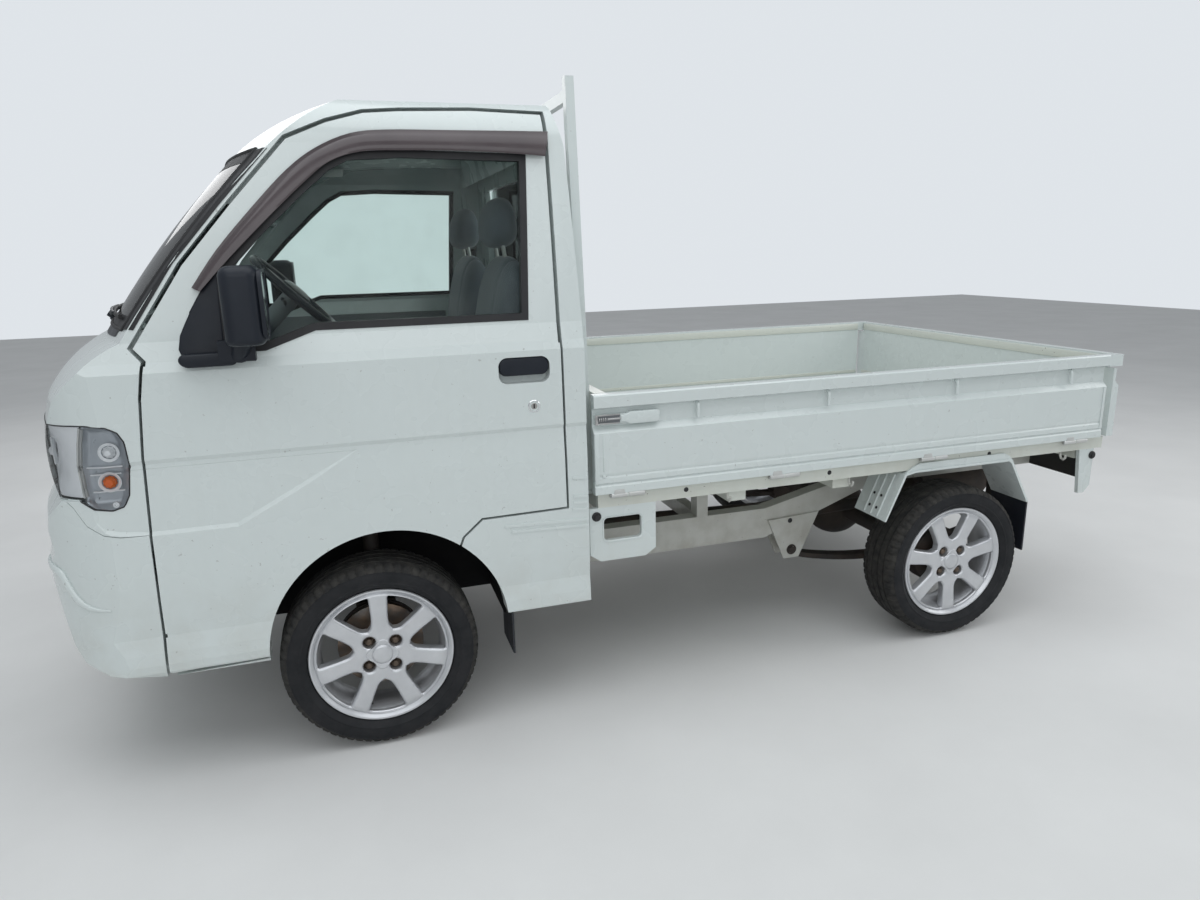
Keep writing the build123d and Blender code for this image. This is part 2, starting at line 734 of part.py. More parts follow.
# x from, x to, half width, z from, z to
cross_members = [
    (1345, 1385, rail_front[0], 310, 390),
    (1010, 1060, rail_front[0], 350, 430),
    (rail_joint_x, rail_joint_x + 40, rail_rear[0], 350, 430),
    (-300, -260, rail_rear[0], 380, 430),
    (-1640, -1600, rail_rear[0], 490, 560),
]
def chassis_side(side):
    """Rear rail of one side, with its spring hangers and the outriggers that carry the bed."""
    with BuildPart() as rail:
        with BuildSketch(Plane.XZ.offset(-side * rail_rear[0])):
            Polygon(*rail_points, align=None)
        extrude(amount=-side * (rail_rear[1] - rail_rear[0]))
        for y_plate, depth in ((rail_rear[0], 8), (rail_rear[1] + 8, 8)):
            with BuildSketch(Plane.XZ.offset(-side * y_plate)):
                Polygon(*hanger_points, align=None)
            extrude(amount=side * depth)
        place_rod((-595, side * rail_rear[0], 281), (-595, side * (rail_rear[1] + 14), 281), 9)
        place_rod((-1500, side * rail_rear[0], 500), (-1500, side * (rail_rear[1] + 8), 500), 9)
        for x in outrigger_stations:
            top = 444 if x > -500 else 545
            place_box((x - 20, x + 20), (side * rail_rear[0], side * rail_rear[1]), (top - 20, 575))
    return rail.part


def chassis_front(side):
    """Front rail of one side."""
    with BuildPart() as rail:
        with BuildSketch(Plane.XZ.offset(-side * rail_front[0])):
            Polygon(*rail_front_points, align=None)
        extrude(amount=-side * (rail_front[1] - rail_front[0]))
    return rail.part


def chassis_cross(x_low, x_high, half, z_low, z_high):
    """Cross member between the two rails."""
    with BuildPart() as member:
        place_box((x_low, x_high), (-half, half), (z_low, z_high))
    return member.part


chassis_frame = Compound(
    [chassis_side(side) for side in (1, -1)]
    + [chassis_front(side) for side in (1, -1)]
    + [chassis_cross(*row) for row in cross_members]
)
finish(chassis_frame, "chassis_frame")

with BuildPart() as rear_axle:
    place_rod((rear_axle_x, -585, tyre_radius), (rear_axle_x, 585, tyre_radius), 34)
    with Locations((rear_axle_x, 0, tyre_radius)):
        Sphere(125)
    for side in (1, -1):
        place_rod(
            (rear_axle_x, side * 585, tyre_radius), (rear_axle_x, side * (wheel_centre_y - fit), tyre_radius), 60
        )
    place_rod((-950, 0, 275), (329, 0, 320), 25)
finish(rear_axle.part, "rear_axle")

with BuildPart() as rear_springs:
    for side in (1, -1):
        with BuildSketch(Plane.XZ.offset(-side * (rail_rear[0] + 1))):
            with BuildLine():
                ThreePointArc((-595, 272), (rear_axle_x, 212), (-1500, 290))
                Line((-1500, 290), (-1500, 272))
                ThreePointArc((-1500, 272), (rear_axle_x, 194), (-595, 254))
                Line((-595, 254), (-595, 272))
            make_face()
        extrude(amount=-side * 48)
        place_box((rear_axle_x - 60, rear_axle_x + 60), (side * 385, side * 447), (180, 232 - fit))
        place_box((-1512, -1488), (side * 393, side * 439), (272, 490 - fit))
finish(rear_springs.part, "rear_springs")

with BuildPart() as engine_block:
    place_box((330, 760), (-190, 190), (230, 640))
    place_pair((520, 580), (190, rail_front[0]), (350, 420))
finish(engine_block.part, "engine_block")

with BuildPart() as fuel_tank:
    place_box((-490, -20), (-680, -rail_rear[1]), (330, 560))
finish(fuel_tank.part, "fuel_tank")

with BuildPart() as exhaust:
    place_rod((352, 190, 318), (352, 272, 318), 22)
    place_rod((352, 250, 318), (-1150, 250, 350), 22)
    place_box((-1310, -1290), (243, 257), (465, 575))
    place_rod((-1150, 250, 350), (-1260, 250, 400), 22)
    place_rod((-1250, 250, 400), (-1560, 250, 400), 75)
finish(exhaust.part, "exhaust")

with BuildPart() as front_suspension:
    place_box((front_axle_x - 60, front_axle_x + 60), (-372, 372), (200, 337 - fit))
    for side in (1, -1):
        place_rod((front_axle_x, side * 360, 215), (front_axle_x, side * 589, 188), 14)
        place_rod(kingpin_at(350.8, side), kingpin_at(strut_top_z, side), 22)
        place_rod(kingpin_at(184, side), kingpin_at(209.5, side), 8)
finish(front_suspension.part, "front_suspension")

# Bed
bed_rear_x = -1658.0
front_wall = (172.0, 205.0)
post_half = 640.0
post_top_z = 1775.0
gate_points = [
    (705, 657), (734, 657), (734, 679), (729, 685), (734, 691), (734, 704), (731, 709), (733, 717),
    (733, 835), (716, 853), (716, 903), (737, 909), (737, 941), (733, 945), (705, 945),
]
hinge_stations = [120.0, -390.0, -940.0, -1530.0]
hinge_half = 50.0
pin_radius = 6.2

with BuildPart() as bed_floor:
    place_box((bed_rear_x, front_wall[1]), (-bed_half_inner, bed_half_inner), (bed_floor_z - 20, bed_floor_z))
    place_pair((bed_rear_x, front_wall[1]), (690, sill_y), (sill_bottom_z, sill_top_z))
    place_box((bed_rear_x - 16, bed_rear_x), (-sill_y, sill_y), (sill_bottom_z, sill_top_z))
    place_box(front_wall, (-bed_half_inner, bed_half_inner), (bed_floor_z, gate_top_z))
    for x, half in ((150, 690), (-250, 690), (-620, 690), (-960, 555), (-1300, 555), (-1610, 690)):
        place_box((x - 30, x + 30), (-half, half), (575, bed_floor_z - 20))
    for x in hinge_stations:
        for side in (1, -1):
            place_rod((x - hinge_half, side * gate_pivot_y, gate_pivot_z), (x - fit, side * gate_pivot_y, gate_pivot_z), pin_radius)
            place_box((x - hinge_half, x - fit), (side * sill_y, side * gate_pivot_y), (644, 648))
    for y in (-500, 0, 500):
        place_rod((-1689.5, y - hinge_half, gate_pivot_z), (-1689.5, y - fit, gate_pivot_z), pin_radius)
        place_box((-1689.5, bed_rear_x - 16), (y - hinge_half, y - fit), (644, 648))
finish(bed_floor.part, "bed_floor")

with BuildPart() as gate_panel:
    with BuildSketch(Plane.YZ.offset(gate_rear_x)):
        Polygon(*gate_points, align=None)
    extrude(amount=gate_front_x - gate_rear_x)
    for x in hinge_stations:
        place_rod((x, gate_pivot_y, gate_pivot_z), (x + hinge_half, gate_pivot_y, gate_pivot_z), pin_radius)
        place_box((x, x + hinge_half), (gate_pivot_y - 4, 734), (gate_pivot_z, gate_bottom_z))
    place_box((20, 215), (716, 731), (862, 888))
with BuildPart() as gate_corner:
    place_box((rear_end_x + 3, gate_rear_x), (705, 737), (905, 945))
gate_solids = [gate_panel.part, gate_corner.part]
finish(Compound(gate_solids), "gate_left")
finish(Compound([mirror(solid, about=Plane.XZ) for solid in gate_solids]), "gate_right")

with BuildPart() as tail_gate:
    with BuildSketch(Plane.XZ.offset(-697)):
        Polygon(*[(-(y + 960.5), z) for y, z in gate_points], align=None)
    extrude(amount=2 * 697)
    with BuildSketch(Plane.XZ.offset(-733)):
        Polygon(*[(-(y + 960.5), z) for y, z in gate_points if z < 880], (-(716 + 960.5), 897), (-(705 + 960.5), 897), align=None)
    extrude(amount=2 * 733)
    for y in (-500, 0, 500):
        place_rod((-1689.5, y, gate_pivot_z), (-1689.5, y + hinge_half, gate_pivot_z), pin_radius)
        place_box((-1694, -1685.5), (y, y + hinge_half), (gate_pivot_z, gate_bottom_z))
finish(tail_gate.part, "tail_gate")

with BuildPart() as guard_frame:
    for side in (1, -1):
        with BuildSketch(Plane.XZ.offset(-(side * post_half - 15))):
            Polygon((205, 640), (229, 640), (229, 945), (250, post_top_z), (226, post_top_z), (205, 945), align=None)
        extrude(amount=-30)
    place_box((226, 246), (-post_half, post_half), (1715, 1745))
    place_box((214, 232), (-post_half, post_half), (1300, 1325))
finish(guard_frame.part, "guard_frame")

with BuildPart() as side_brackets:
    for side in (1, -1):
        with BuildSketch(Plane.XZ.offset(-side * 700)):
            Polygon((28, sill_bottom_z), (28, 470), (60, 448), (200, 448), (232, 470), (232, sill_bottom_z), align=None)
            with Locations((131, 545)):
                RectangleRounded(122, 75, 14, mode=Mode.SUBTRACT)
        extrude(amount=-side * 14)
        with BuildSketch(Plane.XZ.offset(-side * 700)):
            Polygon((-1575, sill_bottom_z), (-1640, sill_bottom_z), (-1640, 479), (-1615, 451), (-1590, 451), align=None)
        extrude(amount=-side * 14)
finish(side_brackets.part, "side_brackets")

with BuildPart() as wheel_guards:
    for side in (1, -1):
        with BuildSketch(Plane.XZ.offset(-side * 560)):
            Polygon(
                (-770, 450), (-838, 603), (-879, 612), (-1262, 612), (-1275, 603), (-1358, 451),
                (-1352, 448), (-1268, 598), (-1255, 606), (-885, 606), (-845, 598), (-776, 448),
                align=None,
            )
        extrude(amount=-side * 165)
        # Rolled lip over the sill
        with BuildSketch(Plane.XZ.offset(-side * (sill_y + 0.3))):
            Polygon((-838, 603), (-868, 622), (-895, 634), (-1238, 634), (-1262, 622), (-1280, 603), align=None)
        extrude(amount=-side * 6.7)
finish(wheel_guards.part, "wheel_guards")

with BuildPart() as mudflaps:
    for side in (1, -1):
        place_box((-1361, -1355), (side * 560, side * 720), (269, 449.2))
        place_box((464, 470), (side * 560, side * 700), (195, quarter_bottom_z))
finish(mudflaps.part, "mudflaps")

plate_spacing = 210.0
plate_hole_radius = 3.5
with BuildPart() as rear_valance:
    place_box((-1656, -1640), (-690, 690), (490, sill_bottom_z))
    for side in (1, -1):
        place_rod((-1660, side * plate_spacing / 2, 552), (-1636, side * plate_spacing / 2, 552), plate_hole_radius, Mode.SUBTRACT)
finish(rear_valance.part, "rear_valance")

with BuildPart() as tail_lamps:
    for side in (1, -1):
        place_box((-1676, -1656), (side * 470, side * 680), (505, 585))
finish(tail_lamps.part, "tail_lamps")
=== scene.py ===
"""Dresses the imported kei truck: materials, trim, wheels, lamps, seats and the studio.

Tables are in millimetres in the frame's axes: +X forward, +Y the truck's left, +Z up.
"""

import json
import math

import bmesh
import bpy
from mathutils import Matrix, Vector
from mathutils.bvhtree import BVHTree
from mathutils.geometry import delaunay_2d_cdt


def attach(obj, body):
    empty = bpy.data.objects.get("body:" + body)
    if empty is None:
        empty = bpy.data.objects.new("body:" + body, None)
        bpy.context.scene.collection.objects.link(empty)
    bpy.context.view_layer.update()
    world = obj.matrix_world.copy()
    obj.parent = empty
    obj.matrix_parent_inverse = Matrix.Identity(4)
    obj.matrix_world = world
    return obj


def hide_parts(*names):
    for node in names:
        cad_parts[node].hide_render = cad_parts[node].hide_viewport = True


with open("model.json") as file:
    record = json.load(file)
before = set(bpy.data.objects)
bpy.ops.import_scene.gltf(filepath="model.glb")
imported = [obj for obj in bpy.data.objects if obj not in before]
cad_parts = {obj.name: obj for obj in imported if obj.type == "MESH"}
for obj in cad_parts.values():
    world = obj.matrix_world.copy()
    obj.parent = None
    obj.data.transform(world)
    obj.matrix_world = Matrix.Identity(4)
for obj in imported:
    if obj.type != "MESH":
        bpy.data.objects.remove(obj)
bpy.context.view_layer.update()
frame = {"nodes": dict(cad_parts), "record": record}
MM = 0.001
ROOT = "body"
SIDES = ((1, "left"), (-1, "right"))
LEFT = (0, 1, 0)
UP = (0, 0, 1)
FORWARD = (1, 0, 0)


# Material helpers


def fill(tree, node, inputs):
    """Sets or links a node's inputs, which are given by name or by number."""
    for key, value in inputs.items():
        if isinstance(value, bpy.types.NodeSocket):
            tree.links.new(value, node.inputs[key])
        else:
            node.inputs[key].default_value = value
    return node


def new_node(tree, kind, inputs):
    return fill(tree, tree.nodes.new("ShaderNode" + kind), inputs)


def new_material(name):
    mat = bpy.data.materials.new(name)
    mat.use_nodes = True
    return mat, mat.node_tree, mat.node_tree.nodes["Principled BSDF"]


def object_point(tree):
    return new_node(tree, "TexCoord", {}).outputs["Object"]


def coords(tree, scale=(1, 1, 1)):
    """Object coordinates in metres, scaled along each axis."""
    return new_node(tree, "Mapping", {"Scale": scale, "Vector": object_point(tree)}).outputs["Vector"]


def noise(tree, scale, detail, stretch=(1, 1, 1)):
    inputs = {"Scale": scale, "Detail": detail, "Roughness": 0.55, "Vector": coords(tree, stretch)}
    return new_node(tree, "TexNoise", inputs).outputs["Fac"]


def ramp(tree, value, low, high, start=0.0, end=1.0):
    """Maps a value from low..high to start..end, clamped."""
    inputs = {"From Min": low, "From Max": high, "To Min": start, "To Max": end, "Value": value}
    return new_node(tree, "MapRange", inputs).outputs["Result"]


def math_node(tree, operation, a, b):
    node = tree.nodes.new("ShaderNodeMath")
    node.operation = operation
    return fill(tree, node, {0: a, 1: b}).outputs[0]


def rgba(colour):
    """Colour with its alpha, or a colour socket as it is."""
    return (*colour, 1.0) if isinstance(colour, tuple) else colour


def mix_colour(tree, factor, a, b):
    node = tree.nodes.new("ShaderNodeMix")
    node.data_type = "RGBA"
    return fill(tree, node, {0: factor, 6: rgba(a), 7: rgba(b)}).outputs[2]


def mix_shader(tree, factor, a, b):
    return new_node(tree, "MixShader", {0: factor, 1: a, 2: b}).outputs[0]


def bump(tree, height, strength, distance):
    inputs = {"Strength": strength, "Distance": distance, "Height": height}
    return new_node(tree, "Bump", inputs).outputs["Normal"]


def paint(name, base, dirt, dirt_top, dirt_amount, rough, chips):
    """Painted sheet metal with water marks, road dirt low down and small chips."""
    mat, tree, bsdf = new_material(name)
    streaks = ramp(tree, noise(tree, 16.0, 6.0, (3.0, 3.0, 0.12)), 0.20, 0.95, 0.0, 0.14)
    clouds = ramp(tree, noise(tree, 0.9, 1.0), 0.10, 0.90, 0.0, 0.12)
    height = new_node(tree, "SeparateXYZ", {"Vector": object_point(tree)}).outputs["Z"]
    low = ramp(tree, height, dirt_top, 0.25, 0.0, 0.85)
    grime = math_node(tree, "MULTIPLY", low, ramp(tree, noise(tree, 14.0, 8.0), 0.38, 0.70))
    marks = math_node(tree, "ADD", math_node(tree, "ADD", streaks, clouds), grime)
    colour = mix_colour(tree, math_node(tree, "MULTIPLY", marks, dirt_amount), base, dirt)
    chip_zone = math_node(tree, "MULTIPLY", ramp(tree, noise(tree, 85.0, 2.0), 0.735, 0.75), chips)
    fill(tree, bsdf, {
        "Base Color": mix_colour(tree, chip_zone, colour, (0.16, 0.13, 0.11)),
        "Roughness": ramp(tree, noise(tree, 7.0, 3.0), 0.2, 0.9, rough - 0.03, rough + 0.08),
        "Coat Weight": 0.55,
        "Coat Roughness": 0.09,
        "Normal": bump(tree, noise(tree, 420.0, 2.0), 0.012, 0.0002),
    })
    return mat


def two_toned(name, base, other, rough, grain, depth, metallic=0.0, patches=6.0, specular=0.5):
    """Plastic, rubber or bare metal: two tones with a fine grain."""
    mat, tree, bsdf = new_material(name)
    tone = ramp(tree, noise(tree, patches, 7.0), 0.35, 0.75)
    fill(tree, bsdf, {
        "Base Color": mix_colour(tree, tone, base, other),
        "Roughness": ramp(tree, noise(tree, patches * 3, 5.0), 0.3, 0.8, rough - 0.07, rough + 0.1),
        "Metallic": metallic,
        "Specular IOR Level": specular,
        "Normal": bump(tree, noise(tree, grain, 3.0), 0.35, depth),
    })
    return mat


def clear(name, tint, shine, rough, haze):
    """Thin transparent sheet with a Fresnel reflection and a little haze."""
    mat, tree, bsdf = new_material(name)
    tree.nodes.remove(bsdf)
    through = new_node(tree, "BsdfTransparent", {"Color": rgba(tint)}).outputs[0]
    glossy = new_node(tree, "BsdfGlossy", {"Roughness": rough}).outputs[0]
    dust = new_node(tree, "BsdfDiffuse", {"Color": (0.55, 0.56, 0.54, 1.0)}).outputs[0]
    weight = new_node(tree, "LayerWeight", {"Blend": shine}).outputs["Fresnel"]
    dusty = mix_shader(tree, ramp(tree, noise(tree, 11.0, 6.0), 0.4, 0.9, 0.0, haze), through, dust)
    fill(tree, tree.nodes["Material Output"], {"Surface": mix_shader(tree, weight, dusty, glossy)})
    return mat


def cloth(name, base, other, scale):
    """Woven seat cloth with a fine check in its threads."""
    mat, tree, bsdf = new_material(name)
    weave = new_node(tree, "TexChecker", {"Scale": scale, "Vector": coords(tree)}).outputs["Fac"]
    threads = math_node(tree, "MULTIPLY", weave, 0.45)
    wear = math_node(tree, "MULTIPLY", ramp(tree, noise(tree, 30.0, 6.0), 0.3, 0.7), 0.55)
    fill(tree, bsdf, {
        "Base Color": mix_colour(tree, math_node(tree, "ADD", threads, wear), base, other),
        "Roughness": 0.92,
        "Sheen Weight": 0.3,
        "Normal": bump(tree, weave, 0.4, 0.0008),
    })
    return mat


# Columns: paint, dirt, height in metres where dirt ends, amount of dirt, roughness, amount of chips
PAINTED = {
    "white_paint": ((0.640, 0.698, 0.690), (0.42, 0.40, 0.34), 0.62, 0.35, 0.26, 0.35),
    "bed_paint": ((0.645, 0.675, 0.620), (0.37, 0.33, 0.25), 0.75, 0.60, 0.40, 0.8),
    "frame_paint": ((0.50, 0.505, 0.47), (0.27, 0.245, 0.20), 0.60, 0.75, 0.50, 0.7),
}
# Columns: both colours, roughness, fineness and depth of the grain, then metallic, fineness
# of the patches and specular level, which are 0, 6 and 0.5 where they are left out
TWO_TONED = {
    "black_plastic": ((0.008, 0.011, 0.017), (0.016, 0.020, 0.029), 0.42, 900.0, 0.0004, 0.0, 6.0, 0.3),
    "weather_strip": ((0.010, 0.010, 0.012), (0.020, 0.020, 0.022), 0.55, 700.0, 0.0003),
    "trim_plastic": ((0.16, 0.17, 0.18), (0.20, 0.21, 0.22), 0.55, 800.0, 0.0005),
    "pale_trim": ((0.42, 0.43, 0.42), (0.50, 0.51, 0.50), 0.6, 800.0, 0.0005),
    "dark_metal": ((0.035, 0.032, 0.030), (0.085, 0.060, 0.045), 0.65, 160.0, 0.0012, 0.3),
    "rubber": ((0.012, 0.012, 0.013), (0.026, 0.026, 0.027), 0.62, 500.0, 0.0004),
    "mudflap_rubber": ((0.008, 0.010, 0.016), (0.020, 0.022, 0.030), 0.50, 300.0, 0.0004),
    "tyre_rubber": ((0.010, 0.011, 0.013), (0.021, 0.021, 0.023), 0.66, 650.0, 0.0005, 0.0, 20.0, 0.3),
    "tread_rubber": ((0.018, 0.018, 0.018), (0.050, 0.047, 0.042), 0.80, 450.0, 0.0008, 0.0, 40.0, 0.3),
    "alloy": ((0.60, 0.61, 0.63), (0.68, 0.69, 0.71), 0.36, 900.0, 0.0001, 0.72, 18.0),
    "steel": ((0.50, 0.50, 0.50), (0.36, 0.34, 0.31), 0.34, 400.0, 0.0002, 0.9),
    "brushed_disc": ((0.20, 0.19, 0.18), (0.30, 0.20, 0.13), 0.42, 500.0, 0.0003, 0.8, 25.0),
    "hinge_steel": ((0.62, 0.63, 0.62), (0.54, 0.54, 0.52), 0.42, 300.0, 0.00002, 0.4, 12.0),
    "strap_steel": ((0.16, 0.15, 0.14), (0.24, 0.20, 0.17), 0.5, 300.0, 0.0004, 0.6, 30.0),
    "chrome": ((0.85, 0.86, 0.87), (0.80, 0.81, 0.82), 0.12, 900.0, 0.00005, 1.0),
    "bronze": ((0.16, 0.12, 0.09), (0.09, 0.07, 0.055), 0.45, 500.0, 0.0003, 0.7),
    "smoked_plastic": ((0.066, 0.052, 0.056), (0.092, 0.074, 0.078), 0.16, 300.0, 0.0001),
    "red_lens": ((0.42, 0.008, 0.010), (0.50, 0.012, 0.014), 0.16, 250.0, 0.0006),
    "amber_lens": ((0.80, 0.26, 0.02), (0.88, 0.32, 0.03), 0.16, 250.0, 0.0006),
    "pale_lens": ((0.62, 0.64, 0.66), (0.72, 0.74, 0.76), 0.14, 250.0, 0.0006),
    "cab_floor_mat": ((0.007, 0.007, 0.008), (0.015, 0.015, 0.015), 0.88, 300.0, 0.0006, 0.0, 6.0, 0.12),
    "valance_black": ((0.014, 0.014, 0.015), (0.030, 0.028, 0.026), 0.55, 300.0, 0.0004),
    "plate_white": ((0.72, 0.73, 0.70), (0.78, 0.78, 0.75), 0.40, 200.0, 0.0002),
    "lamp_grey": ((0.40, 0.43, 0.46), (0.46, 0.49, 0.52), 0.34, 300.0, 0.0002, 0.35),
    "reflector": ((0.90, 0.92, 0.93), (0.95, 0.96, 0.97), 0.22, 240.0, 0.0006, 0.05),
    "amber_bulb": ((0.75, 0.12, 0.01), (0.90, 0.20, 0.02), 0.20, 200.0, 0.0006),
    "studio_floor": ((0.70, 0.70, 0.69), (0.76, 0.76, 0.75), 0.62, 60.0, 0.0005, 0.0, 1.5),
}
LOOKS = {name: paint(name, *row) for name, row in PAINTED.items()}
LOOKS.update({name: two_toned(name, *row) for name, row in TWO_TONED.items()})
LOOKS["seat_cloth"] = cloth("seat_cloth", (0.105, 0.120, 0.145), (0.165, 0.180, 0.210), 380.0)
LOOKS["belt_webbing"] = cloth("belt_webbing", (0.030, 0.030, 0.034), (0.055, 0.055, 0.06), 520.0)
LOOKS["window_glass"] = clear("window_glass", (0.90, 0.945, 0.93), 0.14, 0.0, 0.04)
LOOKS["lamp_lens"] = clear("lamp_lens", (0.95, 0.96, 0.97), 0.22, 0.01, 0.06)

# Looks of CAD slots and nodes that don't have the slot's own name
SLOT_LOOKS = {"tyre": "tyre_rubber", "rubber": "mudflap_rubber", "seat_fabric": "seat_cloth"}
NODE_LOOKS = {"cab_floor": "cab_floor_mat", "rear_valance": "valance_black"}
for entry in frame["record"]["subparts"]:
    slot_look = SLOT_LOOKS.get(entry["material_slot"], entry["material_slot"])
    node = frame["nodes"][entry["node"]]
    for index in range(len(node.material_slots)):
        node.material_slots[index].material = LOOKS[NODE_LOOKS.get(entry["node"], slot_look)]


# Shape helpers


def facing(spot, out, up=UP):
    """Matrix with its Z axis pointing out and its X axis up."""
    out = Vector(out).normalized()
    across = out.cross(Vector(up)).normalized()
    above = across.cross(out)
    return Matrix.Translation(Vector(spot)) @ Matrix((above, across, out)).transposed().to_4x4()


def set_at(point, level, normal):
    """Point of a flat outline of y and z at a level of x, or of x and z at a level of y."""
    a, b = point
    return (level, a, b) if normal == "x" else (a, level, b)


def round_edges(bm, edges, width, segments):
    bmesh.ops.bevel(bm, geom=edges, offset=width, segments=segments, affect="EDGES", profile=0.5)


def outward(bm):
    bmesh.ops.recalc_face_normals(bm, faces=bm.faces[:])


def split_large(bm):
    bmesh.ops.triangulate(bm, faces=[f for f in bm.faces if len(f.verts) > 4])


class Shape:
    """Collects solids in millimetres and turns them into one piece."""

    def __init__(self):
        self.verts = []
        self.faces = []

    def add(self, verts, faces, matrix=Matrix()):
        start = len(self.verts)
        self.verts.extend([matrix @ Vector(v) for v in verts])
        self.faces.extend([tuple(start + i for i in f) for f in faces])
        return self

    def mirrored(self, side):
        """The same shape on the truck's left for 1, or on its right for -1."""
        if side > 0:
            return self
        return Shape().add([(v.x, -v.y, v.z) for v in self.verts], [tuple(reversed(f)) for f in self.faces])

    def take(self, bm, matrix=Matrix()):
        bm.verts.index_update()
        self.add([v.co.copy() for v in bm.verts], [[v.index for v in f.verts] for f in bm.faces], matrix)
        bm.free()
        return self

    def box(self, x, y, z, edge, segments=2):
        """Box with rounded edges, from its range along each axis."""
        bm = bmesh.new()
        bmesh.ops.create_cube(bm, size=1.0)
        size = Vector([abs(high - low) for low, high in (x, y, z)])
        centre = Vector([(low + high) / 2 for low, high in (x, y, z)])
        for v in bm.verts:
            v.co = v.co * size + centre
        round_edges(bm, bm.edges[:], min(edge, 0.45 * min(size)), segments)
        return self.take(bm)

    def prism(self, outline, normal, low, high, edge, segments=2):
        """Outline extruded along x or y, with rounded edges."""
        bm = bmesh.new()
        bottom = [bm.verts.new(set_at(point, low, normal)) for point in outline]
        top = [bm.verts.new(set_at(point, high, normal)) for point in outline]
        bm.faces.new(list(reversed(bottom)))
        bm.faces.new(top)
        for i in range(len(outline)):
            j = (i + 1) % len(outline)
            bm.faces.new((bottom[i], bottom[j], top[j], top[i]))
        outward(bm)
        round_edges(bm, bm.edges[:], edge, segments)
        split_large(bm)
        return self.take(bm)

    def tube(self, points, radius, sides=12, squash=1.0, ends=True):
        """Round bar along a path."""
        path = [Vector(p) for p in points]
        rings = []
        for i, p in enumerate(path):
            ahead = (path[min(i + 1, len(path) - 1)] - path[max(i - 1, 0)]).normalized()
            across = ahead.cross(Vector(UP))
            if across.length < 0.05:
                across = ahead.cross(Vector(LEFT))
            across.normalize()
            over = across.cross(ahead)
            rings.append([
                p + across * (radius * math.cos(t)) + over * (radius * squash * math.sin(t))
                for t in (2 * math.pi * k / sides for k in range(sides))
            ])
        faces = []
        for i in range(len(rings) - 1):
            for k in range(sides):
                n = (k + 1) % sides
                faces.append((i * sides + k, i * sides + n, (i + 1) * sides + n, (i + 1) * sides + k))
        if ends:
            last = (len(rings) - 1) * sides
            faces.append(tuple(reversed(range(sides))))
            faces.append(tuple(last + k for k in range(sides)))
        return self.add([v for ring in rings for v in ring], faces)

    def tubes(self, paths, *sizes):
        for path in paths:
            self.tube(path, *sizes)
        return self

    def lathe(self, profile, steps, place, radius_at=None):
        """Ring turned about the local Z axis; profile holds radius and height."""
        verts = []
        for s in range(steps):
            angle = 2 * math.pi * s / steps
            for r, w in profile:
                reach = radius_at(r, w, s) if radius_at else r
                verts.append((reach * math.cos(angle), reach * math.sin(angle), w))
        faces = []
        count = len(profile)
        for s in range(steps):
            n = (s + 1) % steps
            for i in range(count):
                j = (i + 1) % count
                faces.append((s * count + i, n * count + i, n * count + j, s * count + j))
        return self.add(verts, faces, place)

    def turned(self, profile, steps, spots, out=LEFT, up=UP, radius_at=None):
        """The same turned part at several spots."""
        for spot in spots:
            self.lathe(profile, steps, facing(spot, out, up), radius_at)
        return self

    def grid(self, rows):
        """Open sheet through rows of points."""
        width = len(rows[0])
        faces = []
        for i in range(len(rows) - 1):
            for k in range(width - 1):
                faces.append((i * width + k, i * width + k + 1, (i + 1) * width + k + 1, (i + 1) * width + k))
        return self.add([p for row in rows for p in row], faces)

    def done(self, name, look_name, body, angle=38.0, replaces=()):
        """Makes the object, rides it on its body and gives it its material."""
        look = LOOKS[look_name]
        mesh = bpy.data.meshes.new(name)
        mesh.from_pydata([v * MM for v in self.verts], [], self.faces)
        bm = bmesh.new()
        bm.from_mesh(mesh)
        outward(bm)
        bm.to_mesh(mesh)
        bm.free()
        mesh.shade_smooth()
        mesh.set_sharp_from_angle(angle=math.radians(angle))
        obj = bpy.data.objects.new(name, mesh)
        bpy.context.scene.collection.objects.link(obj)
        obj.data.materials.append(look)
        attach(obj, body)
        if replaces:
            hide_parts(*replaces)
        return obj


def both_sides(shape, name, look_name, body, angle=38.0, replaces=()):
    """Places a left shape and its mirror image, on one body or on a left and a right one."""
    for side, word in SIDES:
        own = body if body == ROOT else body + "_" + word
        nodes = [node + "_" + word for node in replaces]
        shape.mirrored(side).done(name + "_" + word, look_name, own, angle, nodes)


def arc_height(points, z):
    """Half width at a height, on the circle through three points of the cab's section."""
    (y1, z1), (y2, z2), (y3, z3) = points
    s1, s2, s3 = (y**2 + height**2 for y, height in points)
    d = 2 * (y1 * (z2 - z3) + y2 * (z3 - z1) + y3 * (z1 - z2))
    cy = (s1 * (z2 - z3) + s2 * (z3 - z1) + s3 * (z1 - z2)) / d
    cz = (s1 * (y3 - y2) + s2 * (y1 - y3) + s3 * (y2 - y1)) / d
    r = math.hypot(y1 - cy, z1 - cz)
    reach = math.sqrt(max(r**2 - (z - cz) ** 2, 0.0))
    return cy + reach if y2 > cy else cy - reach


def along(points, value):
    """First number of a table of pairs, at a value of the second."""
    rows = sorted(points, key=lambda p: p[1])
    if value <= rows[0][1]:
        return rows[0][0]
    for (a0, b0), (a1, b1) in zip(rows, rows[1:]):
        if value <= b1:
            return a0 + (a1 - a0) * (value - b0) / (b1 - b0)
    return rows[-1][0]


# Half width and height of the cab's side, from the sill up, and whether straight lines or an arc join them
SECTIONS = (
    (((722, 306), (733, 324), (735.5, 345), (734.5, 376), (729.5, 420)), along),
    (((729.5, 420), (735, 500), (736.5, 600)), arc_height),
    (((736.5, 600), (737, 985), (736, 1080), (727, 1104), (717.5, 1150)), along),
    (((717.5, 1150), (697, 1372), (668, 1600)), arc_height),
    (((668, 1600), (646, 1668), (600, 1709)), arc_height),
)


